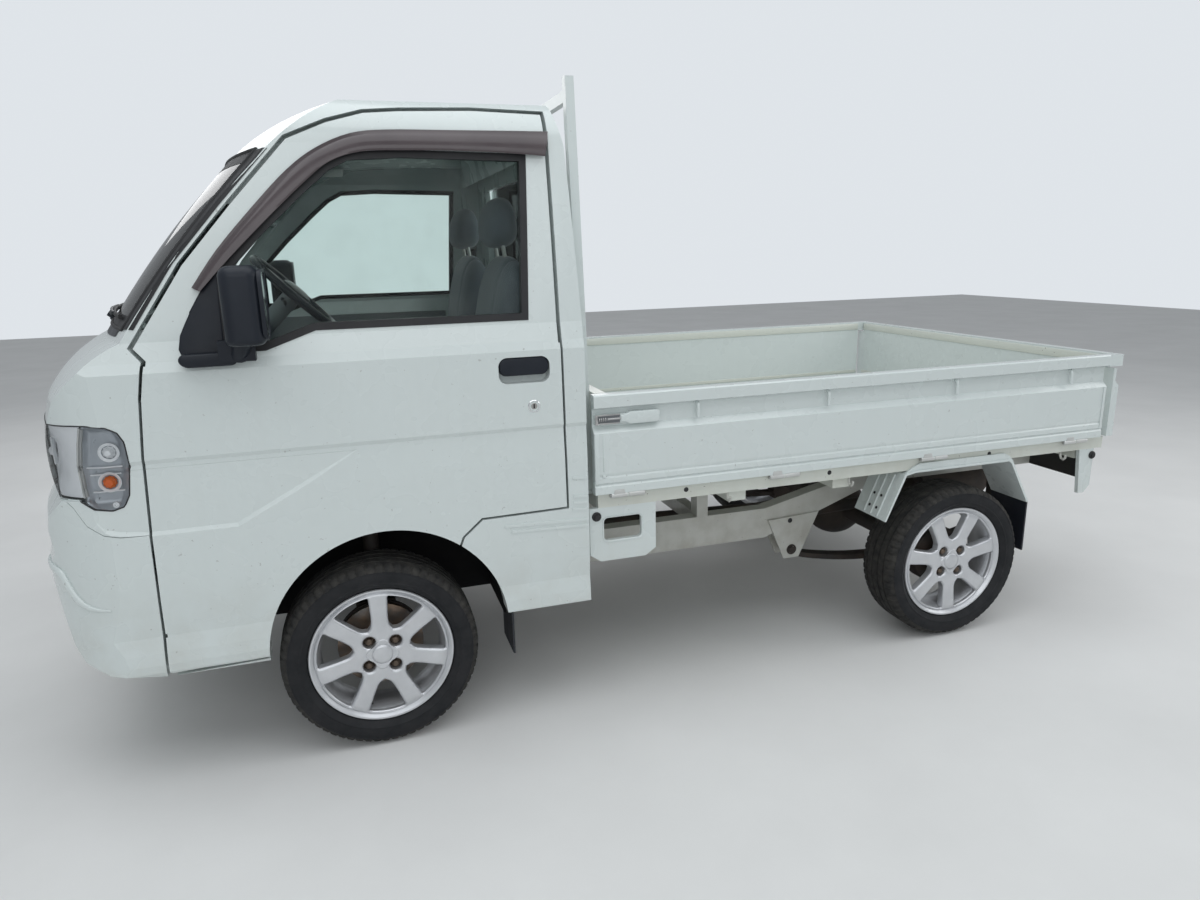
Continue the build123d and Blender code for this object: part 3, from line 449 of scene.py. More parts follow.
def side_y(z):
    """Half width of the cab's side surface at a height."""
    for points, form in SECTIONS[:-1]:
        if z < points[-1][1]:
            return form(points, z)
    points, form = SECTIONS[-1]
    return form(points, z)


def smooth(t):
    t = min(max(t, 0.0), 1.0)
    return t * t * (3 - 2 * t)


def spaced(points, step=25.0, closed=False):
    """Points added along a polyline so that no gap is wider than step."""
    ring = list(points) + ([points[0]] if closed else [])
    out = []
    for (ax, az), (bx, bz) in zip(ring, ring[1:]):
        count = max(1, math.ceil(math.hypot(bx - ax, bz - az) / step))
        out.extend([(ax + (bx - ax) * i / count, az + (bz - az) * i / count) for i in range(count)])
    if not closed:
        out.append(ring[-1])
    return out


def finer(points, count=4):
    """Points of an open line with count steps to a span, on a curve that passes through them."""
    out = []
    for i in range(len(points) - 1):
        p0, p1, p2, p3 = (Vector(points[min(max(k, 0), len(points) - 1)]) for k in range(i - 1, i + 3))
        for t in (k / count for k in range(count)):
            square = (2 * p0 - 5 * p1 + 4 * p2 - p3) * t**2
            cube = (3 * p1 - p0 - 3 * p2 + p3) * t**3
            out.append(tuple(0.5 * (2 * p1 + (p2 - p0) * t + square + cube)))
    out.append(tuple(points[-1]))
    return out


def inset_ring(points, distance):
    """Closed outline moved inwards by a distance."""
    following = points[1:] + points[:1]
    area = sum(a[0] * b[1] - b[0] * a[1] for a, b in zip(points, following))
    turn = 1.0 if area > 0 else -1.0
    out = []
    for i, (point, after) in enumerate(zip(points, following)):
        back = (Vector(point) - Vector(points[i - 1])).normalized()
        on = (Vector(after) - Vector(point)).normalized()
        n1 = Vector((-back.y, back.x)) * turn
        n2 = Vector((-on.y, on.x)) * turn
        bisector = (n1 + n2) / max(1 + n1.dot(n2), 0.35)
        out.append((point[0] + bisector.x * distance, point[1] + bisector.y * distance))
    return out


def side_band(outer_line, inner_line, low, high, closed=True):
    """Solid band between two side outlines, set on the cab's side surface between two offsets."""
    verts = []
    for (ox, oz), (ix, iz) in zip(outer_line, inner_line):
        verts += [(ox, side_y(oz) + low, oz), (ox, side_y(oz) + high, oz)]
        verts += [(ix, side_y(iz) + high, iz), (ix, side_y(iz) + low, iz)]
    count = len(outer_line)
    faces = []
    for i in range(count if closed else count - 1):
        n = (i + 1) % count
        for k in range(4):
            j = (k + 1) % 4
            faces.append((i * 4 + k, n * 4 + k, n * 4 + j, i * 4 + j))
    if not closed:
        faces.append((0, 1, 2, 3))
        faces.append(tuple((count - 1) * 4 + k for k in (3, 2, 1, 0)))
    return Shape().add(verts, faces)


def side_strip(points, width, low, high):
    """Narrow band along an open line on the cab's side."""
    line = spaced(points)
    outer_line, inner_line = [], []
    for i, (x, z) in enumerate(line):
        way = (Vector(line[min(i + 1, len(line) - 1)]) - Vector(line[max(i - 1, 0)])).normalized()
        across = Vector((-way.y, way.x)) * width / 2
        outer_line.append((x + across.x, z + across.y))
        inner_line.append((x - across.x, z - across.y))
    return side_band(outer_line, inner_line, low, high, closed=False)


def side_patch(outline, low, high, edge):
    """Solid patch with a side outline, set on the cab's side between two offsets."""
    bm = bmesh.new()
    top = [bm.verts.new((x, side_y(z) + high, z)) for x, z in outline]
    base = [bm.verts.new((x, side_y(z) + low, z)) for x, z in outline]
    face = bm.faces.new(top)
    bm.faces.new(list(reversed(base)))
    for i in range(len(top)):
        j = (i + 1) % len(top)
        bm.faces.new((top[j], top[i], base[i], base[j]))
    outward(bm)
    round_edges(bm, list(face.edges), edge, 3)
    split_large(bm)
    return Shape().take(bm)


def rounded_rect(a, b, width, height, radius, count=6):
    """Closed outline of a rectangle with round corners about a middle."""
    out = []
    for corner, (sa, sb) in enumerate(((1, 1), (-1, 1), (-1, -1), (1, -1))):
        ca, cb = a + sa * (width / 2 - radius), b + sb * (height / 2 - radius)
        for i in range(count + 1):
            t = math.pi / 2 * (corner + i / count)
            out.append((ca + radius * math.cos(t), cb + radius * math.sin(t)))
    return out


def opening_trim(outer, inner, levels, normal, closed=False):
    """Sheet bent round an opening, at two levels on its outer outline and then two on its inner one."""
    rows = []
    for a, b in zip(outer, inner):
        row = [set_at(point, level, normal) for point, level in zip((a, a, b, b), levels)]
        rows.append(row + row[:1] if closed else row)
    return Shape().grid(rows + rows[:1])


def surface_of(*names):
    """Search tree over CAD nodes, in millimetres."""
    verts, faces = [], []
    for name in names:
        node = frame["nodes"][name]
        start = len(verts)
        verts.extend([node.matrix_world @ v.co / MM for v in node.data.vertices])
        faces.extend([tuple(start + i for i in face.vertices) for face in node.data.polygons])
    return BVHTree.FromPolygons(verts, faces)


def meet(tree, origin, aim, lift=0.0):
    """Point where a line first meets a surface, raised from it by lift."""
    aim = Vector(aim).normalized()
    spot, normal = tree.ray_cast(Vector(origin), aim)[:2]
    if normal.dot(aim) > 0:
        normal = -normal
    return spot + normal * lift


# Wheels

AXLE_Z = 266.0
WHEEL_Y = 652.0
# Name, axle, side, share of a spoke's pitch that the rim is turned by
WHEELS = [
    ("front_left", 837.0, 1, 0.0),
    ("front_right", 837.0, -1, 0.0),
    ("rear_left", -1063.0, 1, 0.5),
    ("rear_right", -1063.0, -1, 0.5),
]
SPOKES = 7
SPOKE_PITCH = 2 * math.pi / SPOKES
TREAD_PITCHES = 66
TREAD_RADIUS = 247.5
# From the bead to the middle: radius, distance from the middle, and 1 for a shoulder cut or 2 for a tread cut
TYRE_HALF = [
    (194.0, 60.0, 0), (197.0, 66.5, 0), (203.0, 73.0, 0), (212.0, 78.5, 0), (213.5, 80.4, 0),
    (216.0, 80.4, 0), (217.5, 79.8, 0), (228.0, 82.0, 0), (238.0, 81.5, 0), (244.0, 80.6, 0),
    (245.0, 81.4, 0), (247.5, 81.2, 0), (249.0, 79.6, 1), (254.0, 76.6, 1), (259.5, 71.5, 1),
    (263.2, 64.0, 1), (265.0, 54.0, 1), (265.4, 47.5, 0), (258.5, 46.2, 0), (258.5, 41.6, 0),
    (265.8, 40.2, 0), (266.0, 30.0, 2), (266.0, 22.5, 2), (266.0, 18.4, 0), (258.5, 17.2, 0),
    (258.5, 12.4, 0), (266.0, 11.2, 0), (266.0, 5.0, 2),
]
SHOULDER_CUT = 4.5
TREAD_CUT = 3.5
TYRE_INSIDE = [(186.0, 55.0), (186.0, -55.0)]


def wheel_place(x, side):
    """Local Z points out of the truck and local X points up."""
    return facing((x, side * WHEEL_Y, AXLE_Z), (0, side, 0))


def build_tyre(place_name, x, side):
    left = [(r, -w, kind) for r, w, kind in TYRE_HALF]
    profile = left + list(reversed(TYRE_HALF))
    kinds = {(r, w): kind for r, w, kind in profile}

    def radius_at(r, w, s):
        kind = kinds.get((r, w))
        if kind == 1 and s % 4 == 0:
            return r - SHOULDER_CUT
        if kind == 2 and (s + 2 * (w > 0)) % 8 == 0:
            return r - TREAD_CUT
        return r

    ring = [(r, w) for r, w, kind in profile] + TYRE_INSIDE
    shape = Shape().lathe(ring, 4 * TREAD_PITCHES, wheel_place(x, side), radius_at)
    nodes = ["tyre_" + place_name]
    tyre = shape.done("wheel_tyre_" + place_name, "tyre_rubber", "wheel_" + place_name, 30.0, nodes)
    tyre.data.materials.append(LOOKS["tread_rubber"])
    centre = Vector((x, side * WHEEL_Y, AXLE_Z)) * MM
    for face in tyre.data.polygons:
        offset = face.center - centre
        if math.hypot(offset.x, offset.z) > TREAD_RADIUS * MM:
            face.material_index = 1


def inside(point, loop):
    """Whether a flat point lies inside a closed outline."""
    a, b = point
    hit = False
    for i in range(len(loop)):
        (a0, b0), (a1, b1) = loop[i - 1], loop[i]
        if (b0 > b) != (b1 > b) and a < (a1 - a0) * (b - b0) / (b1 - b0) + a0:
            hit = not hit
    return hit


def plate_piece(loops, height_at, thickness, edge, spacing=9.0):
    """Dished plate with rounded edges from closed loops, the first being its outline."""
    shrunk = [inset_ring(loop, edge if i == 0 else -edge) for i, loop in enumerate(loops)]
    points, edges = [], []
    for loop in shrunk:
        start = len(points)
        points.extend([Vector(p) for p in loop])
        edges.extend([(start + i, start + (i + 1) % len(loop)) for i in range(len(loop))])
    reach = max(a for a, b in shrunk[0])
    steps = int(2 * reach / spacing)
    for i in range(steps):
        for k in range(steps):
            spot = (-reach + spacing * (i + 0.5 * (k % 2)), -reach + spacing * k)
            on_plate = spot[0] ** 2 + spot[1] ** 2 < (reach - 4) ** 2
            on_plate = on_plate and not any(inside(spot, loop) for loop in shrunk[1:])
            if on_plate and min(math.dist(spot, p) for loop in shrunk[1:] for p in loop) > 4.0:
                points.append(Vector(spot))
    flat, ignored, triangles = delaunay_2d_cdt(points, edges, [], 0, 0.001)[:3]
    bm = bmesh.new()
    top = [bm.verts.new((p.x, p.y, height_at(p.length))) for p in flat]
    for tri in triangles:
        middle = sum((flat[i] for i in tri), Vector((0, 0))) / 3
        if inside(middle, shrunk[0]) and not any(inside(middle, loop) for loop in shrunk[1:]):
            bm.faces.new([top[i] for i in tri])
    start = 0
    for loop, small in zip(loops, shrunk):
        ring = top[start:start + len(loop)]
        start += len(loop)
        for t, drop in ((0.15, 0.04), (0.85, 0.62), (1.0, 1.0), (1.0, thickness / edge)):
            below = []
            for (a, b), (c, d) in zip(loop, small):
                x, y = c + (a - c) * t, d + (b - d) * t
                below.append(bm.verts.new((x, y, height_at(math.hypot(c, d)) - edge * drop)))
            for i in range(len(ring)):
                k = (i + 1) % len(ring)
                bm.faces.new((ring[i], ring[k], below[k], below[i]))
            ring = below
    return bm


def circle(radius, count, cx=0.0, cy=0.0):
    angles = [2 * math.pi * i / count for i in range(count)]
    return [(cx + radius * math.cos(t), cy + radius * math.sin(t)) for t in angles]


WINDOW_INNER = 78.0
WINDOW_OUTER = 172.0
WINDOW_ROUND = 18.0
WINDOW_CORNER = 7.0


def window_loop(middle):
    """Rounded opening between two spokes, whose middle is at an angle."""
    flank = []
    for i in range(15):
        r = WINDOW_INNER + (WINDOW_OUTER - WINDOW_INNER) * (i / 14)
        spoke_half = 23.0 + 3.0 * max(0.0, (r - 120.0) / 55.0)
        edge_angle = SPOKE_PITCH / 2 - math.asin(min(spoke_half / r, 0.9))
        close = max(0.0, 1.0 - ((r - WINDOW_INNER) / WINDOW_ROUND))
        flank.append((r, edge_angle * math.sqrt(1.0 - close**2)))
    end_angle = flank[-1][1]
    corner_r = WINDOW_OUTER - WINDOW_CORNER
    flank = [p for p in flank if p[0] < corner_r]
    for i in range(5):
        t = (i + 1) / 6 * math.pi / 2
        turn = WINDOW_CORNER / WINDOW_OUTER * (1 - math.cos(t))
        flank.append((corner_r + WINDOW_CORNER * math.sin(t), end_angle - turn))
    across = [(WINDOW_OUTER, flank[-1][1] * (1 - 2 * (i + 1) / 12)) for i in range(11)]
    unique = []
    for r, a in flank + across + [(r, -a) for r, a in reversed(flank)]:
        point = (r * math.cos(middle + a), r * math.sin(middle + a))
        if all(math.dist(point, other) > 0.4 for other in unique):
            unique.append(point)
    return unique


# Radius, and distance outwards from the rim's middle
RIM_BARREL = [
    (194.0, -66.0), (194.5, -62.0), (186.0, -60.0), (178.5, -56.0), (178.0, -44.0), (170.0, -34.0),
    (166.0, -10.0), (167.0, 20.0), (174.0, 40.0), (177.5, 50.0), (184.0, 55.5), (190.0, 58.0),
    (193.6, 62.0), (194.5, 66.5), (192.5, 69.0), (188.5, 68.6), (184.0, 64.5), (180.0, 60.5),
    (175.0, 57.0), (171.5, 48.0), (164.5, 36.0), (161.5, 10.0), (161.5, -12.0), (166.0, -38.0),
    (172.5, -48.0), (173.5, -60.0), (180.0, -66.0),
]
RIM_COLLAR = [(44.5, 50.0), (44.5, 60.6), (42.5, 62.2), (32.0, 62.4), (28.6, 61.0), (28.6, 50.0)]
WHEEL_CAP = [(0.0, 65.4), (12.0, 65.2), (20.0, 64.4), (25.6, 63.0), (27.8, 60.5), (27.8, 50.0), (0.0, 50.0)]
LUG_NUT = [(0.0, 57.5), (6.0, 57.0), (9.0, 54.5), (10.4, 51.0), (10.4, 44.0), (16.5, 40.0), (0.0, 40.0)]
LUG_CIRCLE = 50.0
LUG_TURN = math.radians(45 - 4)
COLLAR_STEPS = 72


def collar_reach(r, w, s):
    """Radius of the collar, whose outer edge draws in at the four lugs."""
    if r < 40:
        return r
    return r * (1 - 0.13 * (1 + math.cos(4 * (2 * math.pi * s / COLLAR_STEPS - LUG_TURN))))


def build_rim(place_name, x, side, turn):
    place = wheel_place(x, side)
    body = "wheel_" + place_name
    lug_angles = [LUG_TURN + i * math.pi / 2 for i in range(4)]
    lugs = [(LUG_CIRCLE * math.cos(t), LUG_CIRCLE * math.sin(t)) for t in lug_angles]
    loops = [circle(180.0, 112)]
    loops += [window_loop((i + 0.5 + turn) * SPOKE_PITCH) for i in range(SPOKES)]
    loops += [circle(17.0, 28, a, b) for a, b in lugs]

    def face_height(r):
        return 60.0 + 8.0 * (min(r, 180.0) / 180.0) ** 2 - 5.0 * smooth((r - 162) / 18)

    face = Shape().take(plate_piece(loops, face_height, 28.0, 6.0), place)
    face.lathe(RIM_BARREL, 112, place).lathe(RIM_COLLAR, COLLAR_STEPS, place, collar_reach)
    face.done("wheel_rim_" + place_name, "alloy", body, 32.0, ["rim_" + place_name])
    Shape().lathe(WHEEL_CAP, 40, place).done("wheel_cap_" + place_name, "alloy", body, 40.0)
    nuts = Shape()
    for a, b in lugs:
        nuts.lathe(LUG_NUT, 12, place @ Matrix.Translation((a, b, 0)))
    nuts.done("lug_nuts_" + place_name, "bronze", body, 30.0)
    angle = (3.5 + turn) * SPOKE_PITCH - 0.28
    ends = ((158, 30), (150, 58))
    foot, tip = [place @ Vector((r * math.cos(angle), r * math.sin(angle), w)) for r, w in ends]
    Shape().tube([foot, (foot + tip) / 2, tip], 4.5, 10).done("valve_" + place_name, "rubber", body)


def build_brake(place_name, x, side):
    place = wheel_place(x, side)
    body = "wheel_" + place_name
    if place_name.startswith("front"):
        brake = Shape().lathe([(60.0, -22.0), (118.0, -22.0), (118.0, -10.0), (60.0, -10.0)], 64, place)
        brake.lathe([(0.0, 12.0), (62.0, 12.0), (66.0, 8.0), (66.0, -14.0), (0.0, -14.0)], 48, place)
        brake.done("brake_disc_" + place_name, "brushed_disc", body)
    else:
        drum = [(0.0, -1.0), (70.0, -1.0), (96.0, -8.0), (100.0, -14.0), (100.0, -60.0), (0.0, -60.0)]
        Shape().lathe(drum, 56, place).done("brake_drum_" + place_name, "dark_metal", body)


for place_name, x, side, turn in WHEELS:
    build_tyre(place_name, x, side)
    build_rim(place_name, x, side, turn)
    build_brake(place_name, x, side)


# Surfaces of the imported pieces, for trim that lies on them

front_skin = surface_of("front_panel", "headlamps", "front_bumper", "cab_shell", "door_left")
screen_skin = surface_of("windshield")
cowl_skin = surface_of("cab_shell", "front_panel", "windshield")
shell_skin = surface_of("cab_shell")
bumper_skin = surface_of("front_bumper")
CORNER_AXIS = (1250.0, 420.0)
FAR_AHEAD = 2600


def around(z, degrees, lift=0.0):
    """Point on the front left corner, in a direction from ahead at 0 to the side at 90."""
    way = Vector((math.cos(math.radians(degrees)), math.sin(math.radians(degrees)), 0))
    start = Vector((CORNER_AXIS[0], CORNER_AXIS[1], z)) + way * 900
    return meet(front_skin, start, -way, lift)


def from_ahead(skin, y, z, lift):
    """Point of a surface that shows straight from the front."""
    return meet(skin, (FAR_AHEAD, y, z), (-1, 0, 0), lift)


def angle_where(z, reached):
    """Direction at which a test on the corner's point first holds, going from ahead to the side."""
    low, high = 0.0, 88.0
    for step in range(24):
        middle = (low + high) / 2
        if reached(around(z, middle)):
            high = middle
        else:
            low = middle
    return high


# Doors

WINDOW = [
    (390, 1162), (369, 1576), (683, 1583), (813, 1576), (866, 1548), (933, 1491), (1041, 1391),
    (1165, 1263), (1195, 1214), (1205, 1120), (1040, 1120), (922, 1162),
]
SAIL = [
    (1130, 1094), (1200, 1093), (1221, 1103), (1230, 1130), (1224, 1162), (1210, 1190), (1197, 1214),
    (1181, 1242), (1165, 1266), (1130, 1303),
]
MIRROR_FOOT = [
    (1104, 1097), (1110, 1091), (1212, 1090), (1226, 1099), (1229, 1110), (1222, 1121), (1106, 1123),
]
# Middle of the mirror glass: y and z
MIRROR = (808, 1232)

window_line = spaced(WINDOW, 24.0, closed=True)
ring = side_band(inset_ring(window_line, -3.0), inset_ring(window_line, 15.0), -26.0, 1.6)
both_sides(ring, "window_frame", "weather_strip", "door", 30.0)
both_sides(side_patch(SAIL, -26.0, 4.5, 3.0), "mirror_sail", "black_plastic", "door")
bar = side_patch([(1122, 1100), (1132, 1100), (1132, 1302), (1122, 1311)], -26.0, 3.0, 1.5)
both_sides(bar, "window_bar", "weather_strip", "door")
both_sides(Shape().prism(MIRROR_FOOT, "y", 722, 770, 6.0, 3), "mirror_foot", "black_plastic", "door")
mirror_neck = Shape().tube([(1098, 758, 1108), (1090, 772, 1125), (1084, 790, 1150)], 21.0, 16, 0.8)
both_sides(mirror_neck, "mirror_neck", "black_plastic", "door")
glass_plate = Shape().prism(rounded_rect(*MIRROR, 108, 148, 22), "x", 1022.5, 1028, 1.2)
both_sides(glass_plate, "mirror_glass", "chrome", "door")
mirror_edges = rounded_rect(*MIRROR, 118, 158, 27), rounded_rect(*MIRROR, 104, 144, 20)
both_sides(opening_trim(*mirror_edges, (1030, 1021, 1021, 1030), "x"), "mirror_rim", "black_plastic", "door")

flap = Shape().prism(rounded_rect(408.5, 1038.5, 134, 48, 19), "y", 706, 735.0, 5.0, 4)
both_sides(flap, "door_handle", "black_plastic", "door")
LOCK = [(386, 736.0, 930)]
lock_ring = [(17.0, -3.0), (17.0, 1.0), (15.5, 2.4), (13.5, 2.4), (12.5, 0.6), (12.5, -3.0)]
both_sides(Shape().turned(lock_ring, 40, LOCK), "lock_ring", "chrome", "door")
lock_barrel = [(0.0, 1.6), (8.0, 1.6), (9.4, 0.2), (12.6, -0.8), (12.6, -4.0), (0.0, -4.0)]
both_sides(Shape().turned(lock_barrel, 32, LOCK), "lock_barrel", "steel", "door")
both_sides(Shape().box((383.8, 388.2), (736.5, 738.0), (924, 936), 0.4), "lock_slot", "weather_strip", "door")

# Smoked deflectors over the windows: upper edge, lower edge, and share of the way down with its lift
VISOR_TOP = [
    (1186, 1271), (1124, 1355), (1034, 1454), (950, 1538), (879, 1589), (797, 1623), (710, 1633),
    (560, 1634.5), (430, 1635.5), (303, 1636),
]
VISOR_LOW = [
    (1167, 1262), (1092, 1340), (990, 1438), (905, 1515), (850, 1556), (778, 1579), (685, 1583),
    (560, 1583.5), (430, 1580), (318, 1573),
]
VISOR_SECTION = [
    (0.0, 0.5), (0.0, 4.0), (0.16, 5.0), (0.24, 11.0), (0.45, 15.0), (0.75, 17.0), (0.97, 17.2), (1.0, 16.2),
    (0.97, 14.8), (0.75, 14.4), (0.45, 12.2), (0.28, 8.0), (0.22, 0.5),
]


def visor_row(top, low):
    row = []
    for t, lift in VISOR_SECTION:
        x = top[0] + (low[0] - top[0]) * t
        z = top[1] + (low[1] - top[1]) * t
        row.append((x, side_y(z) + lift, z))
    return row + row[:1]


visor_rows = [visor_row(a, b) for a, b in zip(finer(VISOR_TOP), finer(VISOR_LOW))]
visor_shape = Shape().grid(visor_rows)
section_end = len(VISOR_SECTION)
last_start = (len(visor_rows) - 1) * (section_end + 1)
visor_shape.faces.append(tuple(range(section_end)))
visor_shape.faces.append(tuple(reversed([last_start + k for k in range(section_end)])))
both_sides(visor_shape, "smoked_deflector", "smoked_plastic", "door", 40.0, ["visor"])

# Raised lines on the lower rear quarters: front and rear end
LINES = [
    [(483, 600), (243, 592)],
    [(464, 582), (243, 575)],
    [(285, 718), (243, 715)],
    [(285, 664), (243, 662)],
    [(285, 645), (243, 643)],
    [(288, 626), (243, 624)],
]
lines = Shape()
for line in LINES:
    band = side_strip(line, 8.0, -1.0, 2.4)
    lines.add(band.verts, band.faces)
both_sides(lines, "quarter_lines", "white_paint", ROOT)

# Inner trim of the doors
ARMREST = [(520, 905), (560, 935), (900, 945), (940, 920), (930, 895), (540, 885)]
door_trim = Shape().box((430, 1230), (669, 676.5), (668, 1098), 6.0, 3).prism(ARMREST, "y", 628, 672, 10.0, 3)
both_sides(door_trim, "door_trim", "trim_plastic", "door")
both_sides(Shape().box((470, 960), (664, 671), (950, 1060), 10.0, 3), "door_cloth", "seat_cloth", "door")
both_sides(Shape().box((600, 760), (648, 664), (1012, 1030), 6.0, 3), "door_pull", "black_plastic", "door")


# Windscreen edge, cowl and wipers

SCREEN = [(0, 1178), (300, 1178), (560, 1178), (675, 1178), (659, 1372), (637, 1500), (609, 1590), (0, 1590)]
SCREEN_SIDE = SCREEN[3:7]
screen_half = spaced(SCREEN, 30.0)
screen_line = screen_half + [(-y, z) for y, z in reversed(screen_half[1:-1])]
border_rows = []
for (y, z), (iy, iz) in zip(screen_line, inset_ring(screen_line, 30.0)):
    spots = [(y + (iy - y) * t, z + (iz - z) * t) for t in (0.02, 0.35, 0.7, 1.0)]
    border_rows.append([from_ahead(screen_skin, a, b, 0.7) for a, b in spots])
Shape().grid(border_rows + border_rows[:1]).done("screen_border", "weather_strip", ROOT)
outline = [from_ahead(screen_skin, y, z, 0.5) for y, z in screen_line]
Shape().tube(outline + outline[:1], 5.0, 8, 1.0, False).done("screen_moulding", "rubber", ROOT)

# Dark strip over the pillar, from the glass to the thin white flange beside the door
DOOR_EDGE = [(948, 1611), (1087, 1460), (1205, 1324), (1331, 1137)]
FLANGE = 17.0
pillar_rows = []
for i in range(23):
    z = 1179.0 + 407.0 * i / 22
    glass_edge = from_ahead(screen_skin, along(SCREEN_SIDE, z), z, 0.0)
    flange = Vector((along(DOOR_EDGE, z) + FLANGE, side_y(z), z))
    row = []
    for t in (k / 6 for k in range(7)):
        spot = glass_edge + (flange - glass_edge) * t
        out = Vector((1.0 - 0.6 * t, 0.5 + 0.5 * t, 0.25)).normalized()
        row.append(meet(shell_skin, spot + out * 150, -out, 1.6) if t else glass_edge + out * 1.6)
    pillar_rows.append(row)
both_sides(Shape().grid(pillar_rows), "pillar_strip", "weather_strip", ROOT, 60.0)

COWL_HALF = [0, 120, 240, 360, 460, 540, 600, 640]
cowl_rows = []
for y in [-y for y in reversed(COWL_HALF[1:])] + COWL_HALF:
    drop = 6.0 * (abs(y) / 640) ** 4
    heights = (1177.0, 1168.0, 1160.0 + drop, 1154.0 + drop)
    cowl_rows.append([from_ahead(cowl_skin, y, z, 1.4) for z in heights])
Shape().grid(cowl_rows).done("cowl_strip", "black_plastic", ROOT)

# Wipers: pivot's y, then the blade's ends as y and z
WIPERS = [(-420.0, (-520.0, 1205.0), (40.0, 1196.0)), (120.0, (70.0, 1204.0), (610.0, 1200.0))]
WIPER_PIVOT_Z = 1166.0
WIPER_PIVOT = [(0.0, 18.0), (8.0, 17.0), (12.0, 13.0), (13.0, 0.0), (0.0, 0.0)]
arms = Shape()
blades = Shape()
for pivot_y, tail, tip in WIPERS:
    middle = ((tail[0] + tip[0]) / 2, (tail[1] + tip[1]) / 2)
    foot = from_ahead(cowl_skin, pivot_y, WIPER_PIVOT_Z, 6.0)
    arms.turned(WIPER_PIVOT, 20, [foot], (1, 0, 1), LEFT)
    path = [foot + Vector((8, 0, 10))]
    for t in (0.2, 0.4, 0.6, 0.8, 1.0):
        y = pivot_y + (middle[0] - pivot_y) * t
        z = WIPER_PIVOT_Z + (middle[1] - WIPER_PIVOT_Z) * min(1.0, t * 1.6)
        path.append(from_ahead(cowl_skin, y, z, 22.0 - 6.0 * t))
    arms.tube(path, 5.5, 8, 0.6)
    spots = [[a + (b - a) * i / 14 for a, b in zip(tail, tip)] for i in range(15)]
    blade = [from_ahead(screen_skin, y, z, 9.0) for y, z in spots]
    blades.tube(blade, 5.0, 8, 1.3)
    spine = [p + Vector((4, 0, 4)) * (1.6 - abs(i / 7 - 1)) for i, p in enumerate(blade)]
    arms.tube(spine[3:12], 3.0, 6)
arms.done("wiper_arms", "black_plastic", ROOT)
blades.done("wiper_blades", "rubber", ROOT)


# Headlamps: outline tables of x or y and z

LAMP_REAR = [
    (1420, 758), (1394, 766), (1380, 793), (1369, 872), (1372, 923), (1384, 947), (1410, 961), (1459, 968),
]
LAMP_FOOT = [(1420, 758), (1455, 764), (1487, 789)]
LAMP_INNER = [(475, 791), (440, 820), (440, 925), (462, 968)]
LAMP_DIVIDER = [(1476, 790), (1478, 803), (1480, 870), (1472, 920), (1461, 966)]


def lamp_span(z, part):
    """Directions of the rear and front ends of a part of the lamp at a height."""
    divider_x = along(LAMP_DIVIDER, z)
    rear_x = divider_x if part == "front" else along(LAMP_REAR, z)
    rear = angle_where(z, lambda p: p.x <= rear_x + 2)
    foot = z < LAMP_FOOT[-1][1]
    if part == "front" or (part == "whole" and not foot):
        inner_y = along(LAMP_INNER, z)
        return rear, angle_where(z, lambda p: p.y >= inner_y + 2)
    limit = along(LAMP_FOOT, z) if foot else divider_x
    if part == "side":
        limit = min(divider_x, limit)
    return rear, angle_where(z, lambda p: p.x <= limit - 2)


def lamp_grid(part, z_low, z_high, rows, columns, depth_at):
    out = []
    for v in (i / rows for i in range(rows + 1)):
        z = z_low + (z_high - z_low) * v
        rear, front = lamp_span(z, part)
        shares = [k / columns for k in range(columns + 1)]
        out.append([around(z, rear + (front - rear) * u, -depth_at(u, v)) for u in shares])
    return Shape().grid(out)


def housing_depth(u, v):
    edge = smooth(min(u, 1 - u) * 90 / 16) * smooth(min(v, 1 - v) * 205 / 20)
    return 5.0 + 14.0 * edge


def bowl_depth(u, v):
    return 5.0 + 18.0 * smooth(min(u, 1 - u) * 2.6) * smooth(min(v, 1 - v) * 2.8)


def lamp_spot(x, z, lift):
    return around(z, angle_where(z, lambda p: p.x <= x), lift)


both_sides(lamp_grid("side", 760.0, 966.0, 34, 26, housing_depth), "lamp_housing", "lamp_grey", ROOT, 60.0)
both_sides(lamp_grid("front", 793.0, 966.0, 30, 34, bowl_depth), "lamp_reflector", "reflector", ROOT, 60.0)

ridge = Shape()
for low, high, lift, shift in ((793.0, 962.0, -3.0, 0), (796.0, 958.0, -6.0, 4)):
    heights = [low + (high - low) * i / 13 for i in range(14)]
    ridge.tube([lamp_spot(along(LAMP_DIVIDER, z) - shift, z, lift) for z in heights], 3.4, 8)
both_sides(ridge, "lamp_divider", "pale_trim", ROOT)
rib = Shape()
for z, x_low, x_high in ((864.0, 1386.0, 1468.0), (846.0, 1392.0, 1462.0), (804.0, 1390.0, 1462.0)):
    rib.tube([lamp_spot(x_low + (x_high - x_low) * i / 8, z, -14.0) for i in range(9)], 3.0, 8, 0.7)
both_sides(rib, "lamp_ribs", "reflector", ROOT)

clear_spot = lamp_spot(1410.0, 899.0, -15.0)
amber_spot = lamp_spot(1419.0, 826.0, -15.0)
screw_spot = lamp_spot(1412.0, 771.0, -10.0)
CLEAR_BULB = [(0.0, 15.0), (7.0, 13.5), (11.5, 9.0), (13.0, 3.0), (15.5, 0.0), (0.0, 0.0)]
AMBER_BULB = [(0.0, 14.0), (9.0, 12.5), (14.0, 8.0), (15.5, 2.0), (16.0, 0.0), (0.0, 0.0)]
bulb = Shape().turned(CLEAR_BULB, 18, [clear_spot], radius_at=lambda r, w, s: r * (1 - 0.12 * (s % 2)))
both_sides(bulb, "marker_bulb", "reflector", ROOT, 25.0)
amber = Shape().turned(AMBER_BULB, 20, [amber_spot], radius_at=lambda r, w, s: r * (1 - 0.10 * (s % 2)))
both_sides(amber, "signal_bulb", "amber_bulb", ROOT, 25.0)
cups = Shape()
